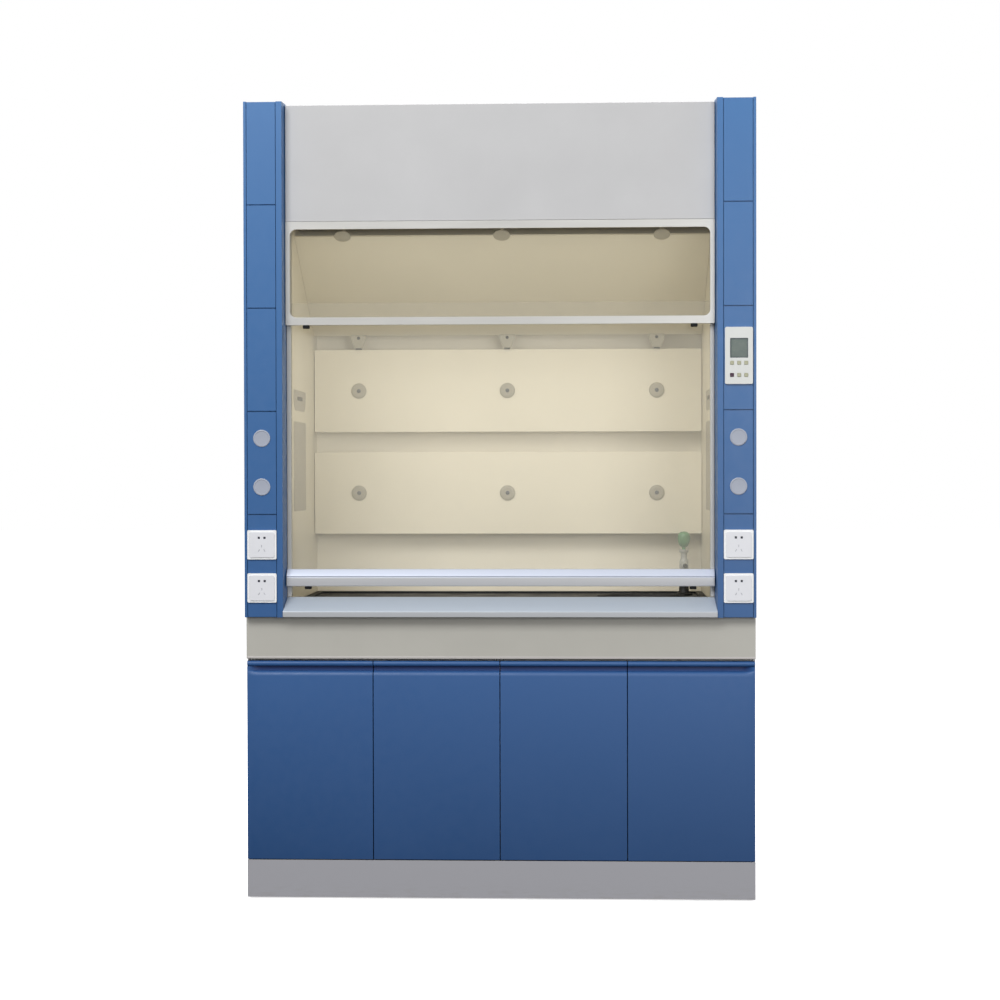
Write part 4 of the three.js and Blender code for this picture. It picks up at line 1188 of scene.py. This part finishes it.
def make_balance():
    """The shaft that keeps both sides of the sash level, with a pulley at each end, and the lower idlers."""
    low, high = box_mm("sync_shaft")
    _, y, z = centre(low, high)
    shaft = [(0, low.x), (9, low.x), (10, low.x + 1), (10, high.x - 1), (9, high.x), (0, high.x)]
    solid(
        "balance_shaft", add_turned, (shaft, (0, y, z), "X", 32), BRIGHT, "top_shaft", replaces=["sync_shaft"]
    )
    for side, _ in SIDES:
        idler = f"idler_pulley_{side}"
        x, _, idler_z = centre(*box_mm(idler))
        make_pulley(f"top_pulley_{side}", x, y, z, "top_shaft")
        make_pulley(f"idler_wheel_{side}", x, y, idler_z, f"idler_{side}", [idler])


# ---- Feet and screws ----
THREAD_PITCH = 1.5
THREAD_START = 15
SCREW_INSET = 22
SCREW_COLUMNS = 6
SCREW_ROWS = 7


def make_foot(number):
    """A rubber pad under a steel cone, a threaded stem and a lock nut."""
    node = f"levelling_foot_{number}"
    low, high = box_mm(node)
    x, y, _ = centre(low, high)
    shape = bmesh.new()
    add_turned(shape, [(0, 0), (22.5, 0), (24, 1.5), (24, 5.5), (23, 6.9), (0, 6.9)], (x, y, low.z), "Z", 48)
    piece_of(f"foot_{number}_pad", shape, RUBBER, slot="belt_rubber")
    stem = [(0, 7), (21, 7), (20, 8.5), (12.5, 13), (11.5, 14), (6, 14.2)]
    height = high.z - low.z
    for k in range(int((height - THREAD_START - 1) / THREAD_PITCH)):
        stem += [(6, THREAD_START + k * THREAD_PITCH), (5.2, THREAD_START + (k + 0.5) * THREAD_PITCH)]
    stem += [(5, height), (0, height)]
    shape = bmesh.new()
    add_turned(shape, stem, (x, y, low.z), "Z", 24)
    add_turned(shape, [(6.3, 50), (10.5, 50), (10.5, 59), (6.3, 59), (6.3, 50)], (x, y, low.z), "Z", 6)
    piece_of(f"foot_{number}_stem", shape, BRIGHT, replaces=[node])


def make_back_screws():
    """Screws round the edge of the outer back panel."""
    low, high = box_mm("back_panel")
    (left, right), (bottom, top) = ((a + SCREW_INSET, b - SCREW_INSET) for a, b in zip(low.xz, high.xz))
    places = set()
    for k in range(SCREW_COLUMNS + 1):
        x = left + (right - left) * k / SCREW_COLUMNS
        places |= {(x, bottom), (x, top)}
    for k in range(SCREW_ROWS + 1):
        z = bottom + (top - bottom) * k / SCREW_ROWS
        places |= {(left, z), (right, z)}
    shape = bmesh.new()
    for x, z in sorted(places):
        add_screw(shape, (x, high.y - 1.1, z), "Y", 4.5, 1.5, 1)
    piece_of("back_screws", shape, BRIGHT)


# ---- What the model carries over ----
def carry_over():
    """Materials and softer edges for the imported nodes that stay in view."""
    finishes = [
        (GREY, 1.2, ["base_carcass", "shelf_left", "shelf_right", "lamp_housing", "back_panel"]),
        (GREY, 2.0, ["header_panel"]),
        (WARM_GREY, 1.2, ["apron_panel"]),
        (KICK, 1.2, ["kick_plate"]),
        (BLUE, 0.9, ["side_frame_left", "side_frame_right"]),
        # the rear liner takes the lighter copy of the board: painted light
        (WALL_PAINTED_LIGHT, 0.8, ["liner_rear"]),
        (BOARD, 0.8, ["liner_left", "liner_right", "liner_ceiling", "baffle_top"]),
        (RESIN, 2.0, ["worktop"]),
        (FRAME_WHITE, 0.5, ["sash_track_left", "sash_track_right", "sash_stile_left", "sash_stile_right"]),
        (IRON, 2.0, ["counterweight_left", "counterweight_right"]),
        (BELT, 0.0, ["belt_left", "belt_right"]),
        (SASH_GLASS, 0.0, ["sash_glass"]),
        (WINDOW_GLASS, 0.0, ["window_glass"]),
    ]
    for finish, rounding, nodes in finishes:
        for node in nodes:
            carried(node, finish, rounding)


def make_floor():
    """A plain white floor that the camera sees but that throws no light back on the hood."""
    g = Graph("studio_floor", Emission_Color=(1, 1, 1, 1), Emission_Strength=0.7)
    g.colour(g.mix(g.ramp(g.noise(0.5, 2), 0, 1), srgb(250, 250, 250), srgb(252, 252, 252)))
    g.roughness(g.ramp(g.noise(3, 2), 0.7, 0.8))
    shape = bmesh.new()
    bmesh.ops.create_grid(shape, x_segments=1, y_segments=1, size=40)
    mesh = bpy.data.meshes.new("studio_floor")
    shape.to_mesh(mesh)
    shape.free()
    mesh.materials.append(g.material)
    floor = bpy.data.objects.new("studio_floor", mesh)
    bpy.context.scene.collection.objects.link(floor)
    floor.visible_diffuse = False
    floor.visible_glossy = False


def build():
    bpy.context.scene.view_settings.view_transform = "Standard"
    make_camera()
    make_world()
    make_lights()
    make_floor()
    carry_over()
    for number in range(1, 5):
        make_door(number)
        make_foot(number)
    make_hem()
    # painted shade in the gaps round the doors
    make_gap_shade_strips()
    for side, sign in SIDES:
        make_covers(side, sign)
        for level in ("upper", "lower"):
            make_socket(side, level)
    make_controller()
    for number in range(1, 7):
        make_key(number)
    make_window()
    make_airfoil()
    make_sash_handle()
    for node in ("baffle_middle", "baffle_lower"):
        make_upright_baffle(node)
    make_slope_fixings()
    make_access_plates()
    make_sink()
    make_tap()
    make_collar()
    make_lamp()
    make_balance()
    make_back_screws()


build()
